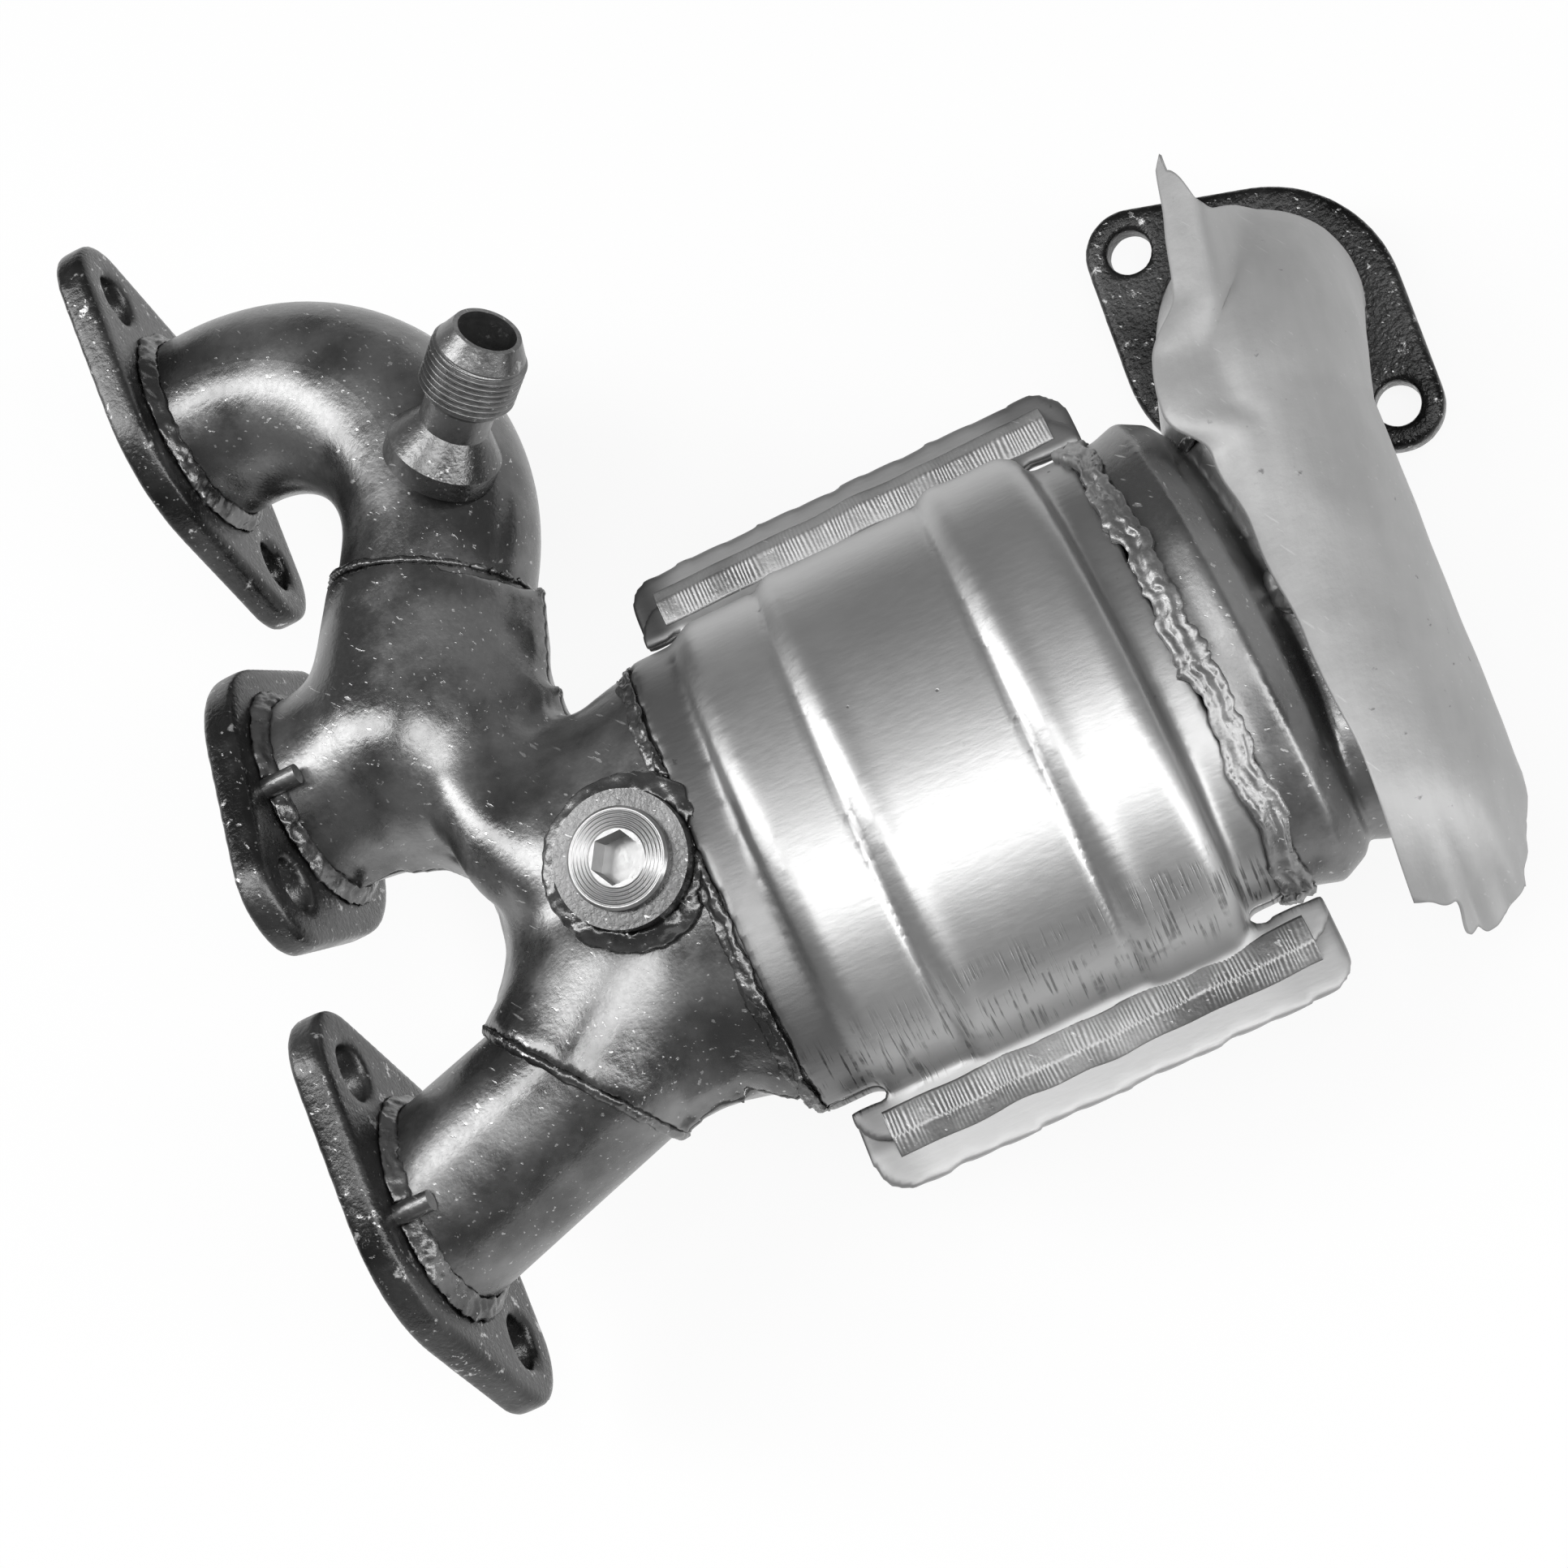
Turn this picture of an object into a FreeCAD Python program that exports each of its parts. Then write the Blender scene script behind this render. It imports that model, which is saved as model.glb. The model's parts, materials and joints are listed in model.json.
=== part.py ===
import FreeCAD, Part
import math
import os

from FreeCAD import Placement, Rotation, Vector

# Exhaust manifold with a close-coupled catalytic converter, for three ports of a V engine.
# Frame: origin at the centre of the middle port, on the face that seals against the cylinder head.
# +X leads away from the cylinder head, +Y runs along the row of ports, +Z is the side with the fittings.
# All lengths are in millimetres and all angles in degrees.

# --- Driving dimensions -------------------------------------------------------------------------

port_pitch = 100.0

# Head flanges: a diamond plate for two studs each.
flange_thickness = 8.0
flange_middle_radius = 33.0
flange_ear_radius = 14.5
stud_spacing = 72.4
stud_angle = 40.3
stud_hole_diameter = 12.5
flange_edge_bevel = 1.0
socket_depth = 4.0

# Runner tubes.
runner_diameter = 45.0
runner_wall = 2.0
slip_clearance = 0.1

# Runner 1 leaves its flange, turns back along the row and slips into the merge.
runner_1_lead = 8.6
runner_1_bend_radius = 42.0
runner_1_turn = 115.0
runner_1_tail = 9.4

# Runner 3 leads straight from its flange to a mouth that is turned towards the converter.
runner_3_lead = 1.0
runner_3_turn = 40.0
runner_3_end_x = 47.7
runner_3_end_y = -87.5

# Merge: two pressed half shells, welded along the plane of the ports.
merge_wall = 2.0
merge_socket_length = 9.0
merge_arm_3_length = 36.0
merge_stub_length = 38.0
merge_stub_diameter = 46.0
merge_middle_radius = 28.0
trunk_root_x = 44.0
trunk_root_y = -14.0
trunk_root_width = 46.0
trunk_root_height = 44.0
trunk_waist_x = 64.0
trunk_waist_y = -48.0
trunk_waist_width = 74.0
trunk_waist_height = 50.0
trunk_insert = 10.0
merge_lip_reach = 2.0
merge_lip_thickness = 1.6
merge_web_height = 30.0
merge_web_depth = 17.0
crotch_x = 18.5
crotch_y = -47.5
crotch_radius = 24.5
upper_notch_x = 77.5
upper_notch_y = -6.0
upper_notch_radius = 9.0
lower_notch_x = 73.0
lower_notch_y = -116.0
lower_notch_radius = 13.0

# Converter: its own frame starts at the end of the body, on the seam between the half shells.
converter_x = 100.0
converter_y = -58.5
converter_z = -6.0
converter_tilt = 7.0
converter_yaw = 3.0
converter_wall = 1.8
body_length = 86.0
body_width = 114.0
body_height = 76.0
body_step = 1.2
body_step_1 = 22.0
body_step_2 = 61.0
body_shoulder = 5.0
neck_drop_sideways = 2.5
neck_drop_upright = 4.5
inlet_neck_length = 10.0
outlet_neck_length = 9.0
seam_flange_thickness = 2.0
upper_flange_reach = 10.0
lower_flange_reach = 18.0
lower_flange_far_reach = 20.5
seam_flange_gap = 3.0
seam_flange_inlet_overrun = 6.0
seam_flange_outlet_overrun = 15.0
seam_flange_corner = 8.0
seam_weld_leg = 1.8

# What the converter holds.
mat_thickness = 5.0
brick_length = 70.0

# Outlet hood: a pressed bowl that flattens into a blind tube across its end.
hood_joint_gap = 3.0
hood_wall = 2.0
hood_crown = 1.8
hood_crown_at = 9.0
hood_brow_at = 15.0
hood_brow_fall_sideways = 1.0
hood_brow_fall_upright = 4.0
hood_fall_at = 20.0
hood_fall_sideways = 7.5
hood_fall_upright = 15.0
hood_length = 30.0
hood_end_width = 70.0
hood_end_height = 34.0
outlet_diameter = 42.0
outlet_wall = 2.0
outlet_axis_x = 228.0
outlet_axis_y = -60.0
outlet_axis_z = -22.0
outlet_yaw = 4.5
hood_blind_length = 24.0
hood_tube_length = 47.0
outlet_side_radius = 36.0
outlet_side_turn = 12.0
outlet_bend_radius = 35.0
outlet_bend_turn = 78.0
outlet_tail = 1.5

# Outlet flange: a diamond plate for two bolts.
outlet_flange_thickness = 8.0
outlet_flange_radius = 33.0
outlet_ear_radius = 10.5
outlet_bolt_spacing = 72.7
outlet_bolt_hole_diameter = 10.5
outlet_bolt_turn = 40.6
outlet_socket_depth = 4.0

# Heat shield: thin sheet bent round the outlet tube, with a horn at one end and a skirt at the other.
shield_thickness = 1.0
shield_gap = 2.0
shield_left_angle = 116.0
shield_back_angle = 93.0
shield_skirt_angle = 98.0
shield_right_angle = -12.0
shield_back_length = 38.0
shield_top_turn = 46.0
shield_foot_turn = 50.0
shield_foot_radius = 8.0
shield_skirt_length = 12.0
shield_horn_length = 56.0
shield_horn_angle = 82.0
pad_diameter = 9.0
pad_stations = (-12.0, 34.0)
pad_angle = 60.0
tab_diameter = 11.0
tab_station = 6.0
tab_inset = 6.0

# Gas return fitting on runner 1: a foot on the bend, a neck, a thread and a coned nose.
egr_station = 102.0
egr_rise = 9.3
egr_elevation = 41.0
egr_lean = 30.0
egr_root = 13.0
egr_seat = 17.0
egr_foot_diameter = 26.0
egr_foot_height = 8.0
egr_neck_diameter = 16.0
egr_neck_height = 16.5
egr_thread_diameter = 20.0
egr_thread_length = 12.5
egr_nose_length = 4.5
egr_nose_diameter = 15.4
egr_bore_diameter = 13.2

# Oxygen sensor boss with its blanking plug, on the upper merge shell.
boss_x = 79.8
boss_y = -58.5
boss_tilt = 8.0
boss_face_z = 33.0
boss_diameter = 29.0
boss_length = 14.0
boss_weld_leg = 4.5
plug_thread_diameter = 18.0
plug_thread_length = 11.0
plug_head_diameter = 21.5
plug_head_height = 2.2
plug_key_width = 10.0
plug_key_depth = 6.5

# Small parts and welds.
stub_pin_diameter = 4.6
stub_pin_length = 8.0
stub_pin_offset = 5.0
weld_leg = 4.0
neck_weld_leg = 3.5
collar_weld_length = 1.5
collar_weld_fall = 1.0
joint_weld_height = 1.4
joint_weld_lap = 1.5

# --- Values worked out from the driving dimensions ------------------------------------------------

X_AXIS = Vector(1, 0, 0)
Y_AXIS = Vector(0, 1, 0)
Z_AXIS = Vector(0, 0, 1)
BEYOND = 400.0

runner_radius = runner_diameter / 2
merge_socket_radius = runner_radius + slip_clearance + merge_wall
merge_stub_radius = merge_stub_diameter / 2
port_radius = runner_radius - runner_wall
outlet_radius = outlet_diameter / 2

converter_frame = Placement(
    Vector(converter_x, converter_y, converter_z),
    Rotation(Z_AXIS, converter_yaw) * Rotation(Y_AXIS, converter_tilt),
)


def direction_in_plan(angle):
    """Unit vector in the plane of the ports, turned by angle from +X towards +Y."""
    return Rotation(Z_AXIS, angle).multVec(X_AXIS)


def fused(solids):
    """One solid from several that overlap."""
    whole = solids[0].multiFuse(solids[1:]) if len(solids) > 1 else solids[0]
    return whole.removeSplitter()


def disc(centre, normal, radius):
    return Part.Face(Part.Wire(Part.Circle(centre, normal, radius).toShape()))


def rod(radius, start, direction, length):
    return Part.makeCylinder(radius, length, start, direction)


class Route:
    """A tube's centre line of straight lengths and bends; solid() gives a rod along all of it."""

    def __init__(self, start, direction):
        self.start = start
        self.direction_at_start = direction
        self.steps = []
        self.end = start
        self.direction = direction

    def straight(self, length):
        self.steps.append((length, None, None))
        self.end = self.end + self.direction * length

    def bend(self, bend_radius, turn, axis):
        self.steps.append((bend_radius, turn, axis))
        centre = self.end + axis.cross(self.direction) * bend_radius
        rotation = Rotation(axis, turn)
        self.end = centre + rotation.multVec(self.end - centre)
        self.direction = rotation.multVec(self.direction)

    def solid(self, radius):
        """A rod of this radius along the whole route."""
        return self.sweep(disc(self.start, self.direction_at_start, radius))

    def sweep(self, face):
        """The solid that a face at the start leaves along the whole route."""
        pieces = []
        place = self.start
        direction = self.direction_at_start
        for size, turn, axis in self.steps:
            if turn is None:
                pieces.append(face.extrude(direction * size))
                face = face.translated(direction * size)
                place = place + direction * size
            else:
                centre = place + axis.cross(direction) * size
                rotation = Rotation(axis, turn)
                pieces.append(face.revolve(centre, axis, turn))
                face = face.copy()
                face.rotate(centre, axis, turn)
                place = centre + rotation.multVec(place - centre)
                direction = rotation.multVec(direction)
        return fused(pieces)


def revolved(profile, place=Placement()):
    """Solid of revolution about +Z from (radius, height) points, then moved to its place."""
    points = [Vector(radius, 0, height) for radius, height in profile]
    face = Part.Face(Part.makePolygon(points + points[:1]))
    solid = face.revolve(Vector(0, 0, 0), Z_AXIS, 360)
    solid.Placement = place
    return solid


def looking_along(position, direction):
    """Placement that turns +Z into direction and moves the origin to position."""
    return Placement(position, Rotation(Z_AXIS, direction))


def weld_ring(tube_radius, leg, position, direction):
    """Fillet weld of triangular section, in the corner of a tube and the face it leaves."""
    profile = [(tube_radius, 0), (tube_radius + leg, 0), (tube_radius, leg)]
    return revolved(profile, looking_along(position, direction))


def diamond_outline(middle_radius, ear_radius, ear_distance):
    """Wire round a middle circle and two ear circles on the X axis, with straight tangents."""
    lean = math.acos((middle_radius - ear_radius) / ear_distance)
    ear = Vector(ear_distance, 0, 0)

    def on_circle(centre, radius, angle):
        return centre + Vector(radius * math.cos(angle), radius * math.sin(angle), 0)

    origin = Vector(0, 0, 0)
    ear_low = on_circle(ear, ear_radius, -lean)
    ear_tip = on_circle(ear, ear_radius, 0)
    ear_high = on_circle(ear, ear_radius, lean)
    middle_high = on_circle(origin, middle_radius, lean)
    middle_top = on_circle(origin, middle_radius, math.pi / 2)
    middle_far = on_circle(origin, middle_radius, math.pi - lean)
    half = [
        Part.Arc(ear_low, ear_tip, ear_high).toShape(),
        Part.makeLine(ear_high, middle_high),
        Part.Arc(middle_high, middle_top, middle_far).toShape(),
        Part.makeLine(middle_far, ear_low * -1),
    ]
    other_half = [edge.rotated(origin, Z_AXIS, 180) for edge in half]
    return Part.Wire(half + other_half)


def diamond_plate(middle_radius, ear_radius, spacing, thickness, edge_bevel):
    """Diamond plate on the XY plane, with both outer edges bevelled."""
    outline = diamond_outline(middle_radius, ear_radius, spacing / 2)
    plate = Part.Face(outline).extrude(Z_AXIS * thickness)
    rims = [edge for edge in plate.Edges if edge.BoundBox.ZLength < 0.001]
    return plate.makeChamfer(edge_bevel, rims)


# --- Head flanges ---------------------------------------------------------------------------------


def head_flange(centre_y, turn, tube_radius):
    """Plate with two stud holes, a port and a socket for the tube on the side away from the head."""
    plate = diamond_plate(
        flange_middle_radius, flange_ear_radius, stud_spacing, flange_thickness, flange_edge_bevel
    )
    cuts = [
        rod(tube_radius - runner_wall, Vector(0, 0, -1), Z_AXIS, flange_thickness + 2),
        rod(
            tube_radius + slip_clearance,
            Vector(0, 0, flange_thickness - socket_depth),
            Z_AXIS,
            socket_depth + 1,
        ),
    ]
    for side in (-1, 1):
        hole_at = Vector(side * stud_spacing / 2, 0, -1)
        cuts.append(rod(stud_hole_diameter / 2, hole_at, Z_AXIS, flange_thickness + 2))
    for cut in cuts:
        plate = plate.cut(cut)
    along_ports = Rotation(Y_AXIS, Z_AXIS, X_AXIS, "ZXY")
    plate.Placement = Placement(Vector(0, centre_y, 0), Rotation(X_AXIS, turn) * along_ports)
    return plate


# --- Runners --------------------------------------------------------------------------------------

port_1 = Vector(flange_thickness - socket_depth, port_pitch, 0)
route_1 = Route(port_1, X_AXIS)
route_1.straight(socket_depth + runner_1_lead)
elbow_start = route_1.end
route_1.bend(runner_1_bend_radius, runner_1_turn, Z_AXIS * -1)
route_1.straight(runner_1_tail)
collar_1 = route_1.end
collar_1_direction = route_1.direction
route_1.straight(merge_socket_length)

port_3 = Vector(flange_thickness - socket_depth, -port_pitch, 0)
mouth_3_start = Vector(flange_thickness + runner_3_lead, -port_pitch, 0)
collar_3 = Vector(runner_3_end_x, runner_3_end_y, 0)
collar_3_direction = direction_in_plan(runner_3_turn)


def runner_1():
    return route_1.solid(runner_radius).cut(route_1.solid(port_radius))


def runner_3_rod(radius):
    """Straight end in the flange, drawn length to the turned mouth, straight end in the merge."""
    ends = [
        Part.Wire(Part.Circle(mouth_3_start, X_AXIS, radius).toShape()),
        Part.Wire(Part.Circle(collar_3, collar_3_direction, radius).toShape()),
    ]
    return fused(
        [
            rod(radius, port_3, X_AXIS, socket_depth + runner_3_lead),
            Part.makeLoft(ends, True, True),
            rod(radius, collar_3, collar_3_direction, merge_socket_length),
        ]
    )


def runner_3():
    return runner_3_rod(runner_radius).cut(runner_3_rod(port_radius))


# --- Converter ------------------------------------------------------------------------------------

neck_width = body_width - 2 * neck_drop_sideways
neck_height = body_height - 2 * neck_drop_upright


def in_converter(solid):
    """Move a solid from the converter's own frame to its place."""
    moved = solid.copy()
    moved.Placement = converter_frame.multiply(moved.Placement)
    return moved


def oval_turned(profile, width_ratio):
    """Oval solid along X: (station, half height) points revolved, then widened in Y."""
    points = [Vector(station, 0, height) for station, height in profile]
    axis_ends = [Vector(profile[-1][0], 0, 0), Vector(profile[0][0], 0, 0)]
    face = Part.Face(Part.makePolygon(points + axis_ends + points[:1]))
    solid = face.revolve(Vector(0, 0, 0), X_AXIS, 360)
    stretch = FreeCAD.Matrix()
    stretch.scale(1, width_ratio, 1)
    return solid.transformGeometry(stretch)


def oval_rod(half_width, half_height, start, length):
    """Oval rod along X from start."""
    circle = disc(Vector(start, 0, 0), X_AXIS, half_height)
    stretch = FreeCAD.Matrix()
    stretch.scale(1, half_width / half_height, 1)
    return circle.extrude(X_AXIS * length).transformGeometry(stretch)


def body_form(inset, inlet_end, outlet_end):
    """The body and its two necks, drawn in by inset on every side."""
    low = body_height / 2 - inset
    middle = low + body_step
    high = middle + body_step
    ramp = 2.5 * body_step
    round_off = 0.3 * body_shoulder
    profile = [
        (inset, low - body_shoulder),
        (inset + round_off, low - round_off),
        (inset + body_shoulder, low),
        (body_step_1, low),
        (body_step_1 + ramp, middle),
        (body_step_2, middle),
        (body_step_2 + ramp, high),
        (body_length - inset - body_shoulder, high),
        (body_length - inset - round_off, high - round_off),
        (body_length - inset, high - body_shoulder),
    ]
    body = oval_turned(profile, (body_width / 2 - inset) / (body_height / 2 - inset))
    neck = oval_rod(neck_width / 2 - inset, neck_height / 2 - inset, inlet_end, outlet_end - inlet_end)
    return fused([body, neck])


inlet_end = -inlet_neck_length
outlet_end = body_length + outlet_neck_length
body_outside = body_form(0, inlet_end, outlet_end)
body_inside = body_form(converter_wall, inlet_end - 1, outlet_end + 1)


def seam_flange(reaches, low, high):
    """Strips along both sides of a half shell, with rounded corners."""
    strips = []
    start_y = neck_width / 2 + seam_flange_gap
    length = body_length + seam_flange_inlet_overrun + seam_flange_outlet_overrun
    for side, reach in zip((-1, 1), reaches):
        end_y = body_width / 2 + reach
        corner = Vector(-seam_flange_inlet_overrun, min(side * start_y, side * end_y), low)
        strip = Part.makeBox(length, end_y - start_y, high - low, corner)
        outer = [
            edge
            for edge in strip.Edges
            if edge.BoundBox.ZLength > 0.5 and abs(abs(edge.CenterOfMass.y) - end_y) < 0.01
        ]
        strips.append(strip.makeFillet(min(seam_flange_corner, end_y - start_y - 1), outer))
    return strips


def converter_shell(upper):
    """Half shell with its seam flange."""
    side = 1 if upper else -1
    floor = 0 if upper else -BEYOND
    half_space = Part.makeBox(2 * BEYOND, 2 * BEYOND, BEYOND, Vector(-BEYOND, -BEYOND, floor))
    thickness = seam_flange_thickness
    reaches = (lower_flange_far_reach, lower_flange_reach)
    if upper:
        reaches = (upper_flange_reach, upper_flange_reach)
    strips = seam_flange(reaches, min(0, side * thickness), max(0, side * thickness))
    half = body_outside.common(half_space)
    shell = fused([half] + strips).cut(body_inside)
    return in_converter(shell)


def shell_seam_welds():
    """Fillet weld along the edge of each upper strip, on the wider lower strip."""
    beads = []
    edge_y = body_width / 2 + upper_flange_reach
    start = seam_flange_corner - seam_flange_inlet_overrun
    end = body_length + seam_flange_outlet_overrun - seam_flange_corner
    length = end - start
    for side in (-1, 1):
        corner = Vector(start, side * edge_y, 0)
        out = corner + Vector(0, side * seam_weld_leg, 0)
        top = corner + Vector(0, 0, seam_weld_leg)
        face = Part.Face(Part.makePolygon([corner, out, top, corner]))
        beads.append(in_converter(face.extrude(X_AXIS * length)))
    return Part.makeCompound(beads)


brick_half_width = body_width / 2 - converter_wall - mat_thickness
brick_half_height = body_height / 2 - converter_wall - mat_thickness
brick_start = (body_length - brick_length) / 2


def ceramic_brick():
    return in_converter(
        oval_rod(brick_half_width, brick_half_height, brick_start, brick_length)
    )


def support_mat():
    """Mat that fills the space between the brick and both half shells."""
    space = Part.makeBox(
        brick_length, 2 * BEYOND, 2 * BEYOND, Vector(brick_start, -BEYOND, -BEYOND)
    )
    core = oval_rod(brick_half_width, brick_half_height, brick_start - 1, brick_length + 2)
    return in_converter(body_inside.common(space).cut(core))


# --- Merge ----------------------------------------------------------------------------------------


def ellipse_wire(centre, half_width, half_height, turn):
    """Oval section across X: half_width along Y, half_height along Z, then turned about its centre."""
    wire = Part.Wire(Part.Ellipse(Vector(0, 0, 0), half_width, half_height).toShape())
    upright = Rotation(Y_AXIS, Z_AXIS, X_AXIS, "ZXY")
    wire.Placement = Placement(centre, turn.multiply(upright))
    return wire


trunk_insert_start = converter_frame.multVec(Vector(inlet_end, 0, 0))
trunk_insert_end = converter_frame.multVec(Vector(inlet_end + trunk_insert, 0, 0))
trunk_root = Vector(trunk_root_x, trunk_root_y, 0)
trunk_waist = Vector(trunk_waist_x, trunk_waist_y, converter_z / 3)


def merge_trunk(inset):
    """The trunk: an oval duct that widens from the middle port to the converter's neck."""
    neck_half_width = neck_width / 2 - converter_wall - slip_clearance - inset
    neck_half_height = neck_height / 2 - converter_wall - slip_clearance - inset
    turn = converter_frame.Rotation
    flat = Rotation()
    sections = [
        ellipse_wire(trunk_root, trunk_root_width / 2 - inset, trunk_root_height / 2 - inset, flat),
        ellipse_wire(trunk_waist, trunk_waist_width / 2 - inset, trunk_waist_height / 2 - inset, flat),
        ellipse_wire(trunk_insert_start, neck_half_width, neck_half_height, turn),
        ellipse_wire(trunk_insert_end, neck_half_width, neck_half_height, turn),
    ]
    blend = Part.makeLoft(sections[:3], True, False)
    insert = Part.makeLoft(sections[2:], True, True)
    return fused([blend, insert])


def web(side, other_side, notch, radius, inset):
    """Round-nosed web between two arms, turned about the notch from one arm to the other."""
    half = merge_web_height / 2 - inset
    nose = radius + inset
    tail = radius + merge_web_depth
    from_notch = (side - notch).normalize()
    to_notch = (other_side - notch).normalize()

    def at(distance, height):
        return notch + from_notch * distance + Z_AXIS * height

    edges = [
        Part.Arc(at(nose + half, -half), at(nose, 0), at(nose + half, half)).toShape(),
        Part.makeLine(at(nose + half, half), at(tail, half)),
        Part.makeLine(at(tail, half), at(tail, -half)),
        Part.makeLine(at(tail, -half), at(nose + half, -half)),
    ]
    turn = math.degrees(from_notch.getAngle(to_notch))
    axis = from_notch.cross(to_notch).normalize()
    return Part.Face(Part.Wire(edges)).revolve(notch, axis, turn)


middle_centre = Vector(merge_stub_length, 0, 0)
crotch = Vector(crotch_x, crotch_y, 0)
upper_notch = Vector(upper_notch_x, upper_notch_y, 0)
lower_notch = Vector(lower_notch_x, lower_notch_y, 0)


def merge_webs(inset):
    """Webs that fill the corners between the arms and the trunk."""
    in_stub = Vector(flange_thickness + merge_stub_radius / 2, 0, 0)
    in_arm_1 = (collar_1 + middle_centre) * 0.5
    in_arm_3 = collar_3 + collar_3_direction * (merge_socket_length / 2)
    neck_side = 0.75 * neck_width / 2
    in_neck_high = converter_frame.multVec(Vector(inlet_end - trunk_insert, neck_side, 0))
    in_neck_low = converter_frame.multVec(Vector(inlet_end - trunk_insert, -neck_side, 0))
    return [
        web(in_stub, in_arm_3, crotch, crotch_radius, inset),
        web(in_arm_1, in_neck_high, upper_notch, upper_notch_radius, inset),
        web(in_arm_3, in_neck_low, lower_notch, lower_notch_radius, inset),
    ]


def merge_form(inset):
    """The whole merge as one solid, drawn in by inset on every side."""
    stub_start = Vector(flange_thickness - socket_depth, 0, 0)
    to_middle = middle_centre - collar_1
    solids = [
        rod(merge_stub_radius - inset, stub_start, X_AXIS, merge_stub_length - stub_start.x),
        Part.makeSphere(merge_middle_radius - inset, middle_centre),
        Part.makeCone(
            merge_socket_radius - inset,
            merge_middle_radius - inset,
            to_middle.Length,
            collar_1,
            to_middle,
        ),
        rod(merge_socket_radius - inset, collar_3, collar_3_direction, merge_arm_3_length),
        merge_trunk(inset),
    ]
    return fused(solids + merge_webs(inset))


merge_outside = merge_form(0)
merge_hollow = merge_outside.cut(merge_form(merge_wall))


def merge_lip():
    """Lip that stands proud along the seam between the half shells, short of the welds."""
    slab = Part.makeBox(
        BEYOND,
        2 * BEYOND,
        2 * merge_lip_thickness,
        Vector(flange_thickness + weld_leg, -BEYOND, -merge_lip_thickness),
    )
    corner = Vector(inlet_end - neck_weld_leg - BEYOND, -BEYOND, -BEYOND)
    before_neck = in_converter(Part.makeBox(BEYOND, 2 * BEYOND, 2 * BEYOND, corner))
    return merge_form(-merge_lip_reach).common(slab).common(before_neck).cut(merge_outside)


def merge_shell(upper):
    """Half of the merge with its share of the lip and, above, the hole for the sensor boss."""
    floor = 0 if upper else -BEYOND
    half_space = Part.makeBox(2 * BEYOND, 2 * BEYOND, BEYOND, Vector(-BEYOND, -BEYOND, floor))
    shell = merge_hollow.common(half_space).fuse(merge_lip().common(half_space))
    if upper:
        shell = shell.cut(boss_rod(boss_diameter / 2 + slip_clearance, 0))
    return shell.removeSplitter()


# --- Sensor boss and plug ---------------------------------------------------------------------------

boss_axis = Rotation(X_AXIS, boss_tilt).multVec(Z_AXIS)
boss_face = Vector(boss_x, boss_y, boss_face_z)


def boss_rod(radius, above):
    """Rod along the boss, from its lower end to a height above its face."""
    start = boss_face - boss_axis * boss_length
    return rod(radius, start, boss_axis, boss_length + above)


def sensor_boss():
    bore = boss_rod(plug_thread_diameter / 2 + slip_clearance, 1).translated(boss_axis * -0.5)
    return boss_rod(boss_diameter / 2, 0).cut(bore)


def hexagon(width, depth, position, direction):
    """Hexagonal rod of this width across flats."""
    radius = width / math.sqrt(3)
    points = [
        Vector(radius * math.cos(math.pi * step / 3), radius * math.sin(math.pi * step / 3), 0)
        for step in range(6)
    ]
    prism = Part.Face(Part.makePolygon(points + points[:1])).extrude(Z_AXIS * depth)
    prism.Placement = looking_along(position, direction)
    return prism


def sensor_plug():
    """Screw plug: threaded shank, round head with a hexagonal key socket."""
    head = Part.makeCylinder(plug_head_diameter / 2, plug_head_height)
    rims = [edge for edge in head.Edges if abs(edge.CenterOfMass.z - plug_head_height) < 0.01]
    head = head.makeChamfer(plug_head_height / 4, rims)
    head.Placement = looking_along(boss_face, boss_axis)
    shank_start = boss_face - boss_axis * plug_thread_length
    shank = rod(plug_thread_diameter / 2, shank_start, boss_axis, plug_thread_length)
    key_start = boss_face + boss_axis * (plug_head_height - plug_key_depth)
    key = hexagon(plug_key_width, plug_key_depth + 1, key_start, boss_axis)
    return fused([head, shank]).cut(key)


def sensor_boss_weld():
    """Fillet weld round the boss, down to the curved shell."""
    drop = boss_length - 1
    radius = boss_diameter / 2
    slope = boss_weld_leg / 4
    profile = [(0, -4), (radius, -4), (radius + boss_weld_leg, -4 - 2 * slope), (radius + boss_weld_leg, -drop), (0, -drop)]
    cone = revolved(profile, looking_along(boss_face, boss_axis))
    return cone.cut(merge_outside).cut(boss_rod(radius, 1)).cut(in_converter(body_outside))


# --- Gas return fitting -----------------------------------------------------------------------------

bend_1_centre = elbow_start - Y_AXIS * runner_1_bend_radius
to_station = Rotation(Z_AXIS, -egr_station)
egr_outward = to_station.multVec(Y_AXIS)
egr_travel = to_station.multVec(X_AXIS)
egr_level = Rotation(Z_AXIS, egr_lean).multVec(egr_outward)
egr_axis = Rotation(egr_level.cross(Z_AXIS), egr_elevation).multVec(egr_level)
egr_origin = bend_1_centre + egr_outward * runner_1_bend_radius + Z_AXIS * egr_rise


def egr_hole():
    return rod(egr_neck_diameter / 2 + slip_clearance, egr_origin, egr_axis, egr_seat * 2)


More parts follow.
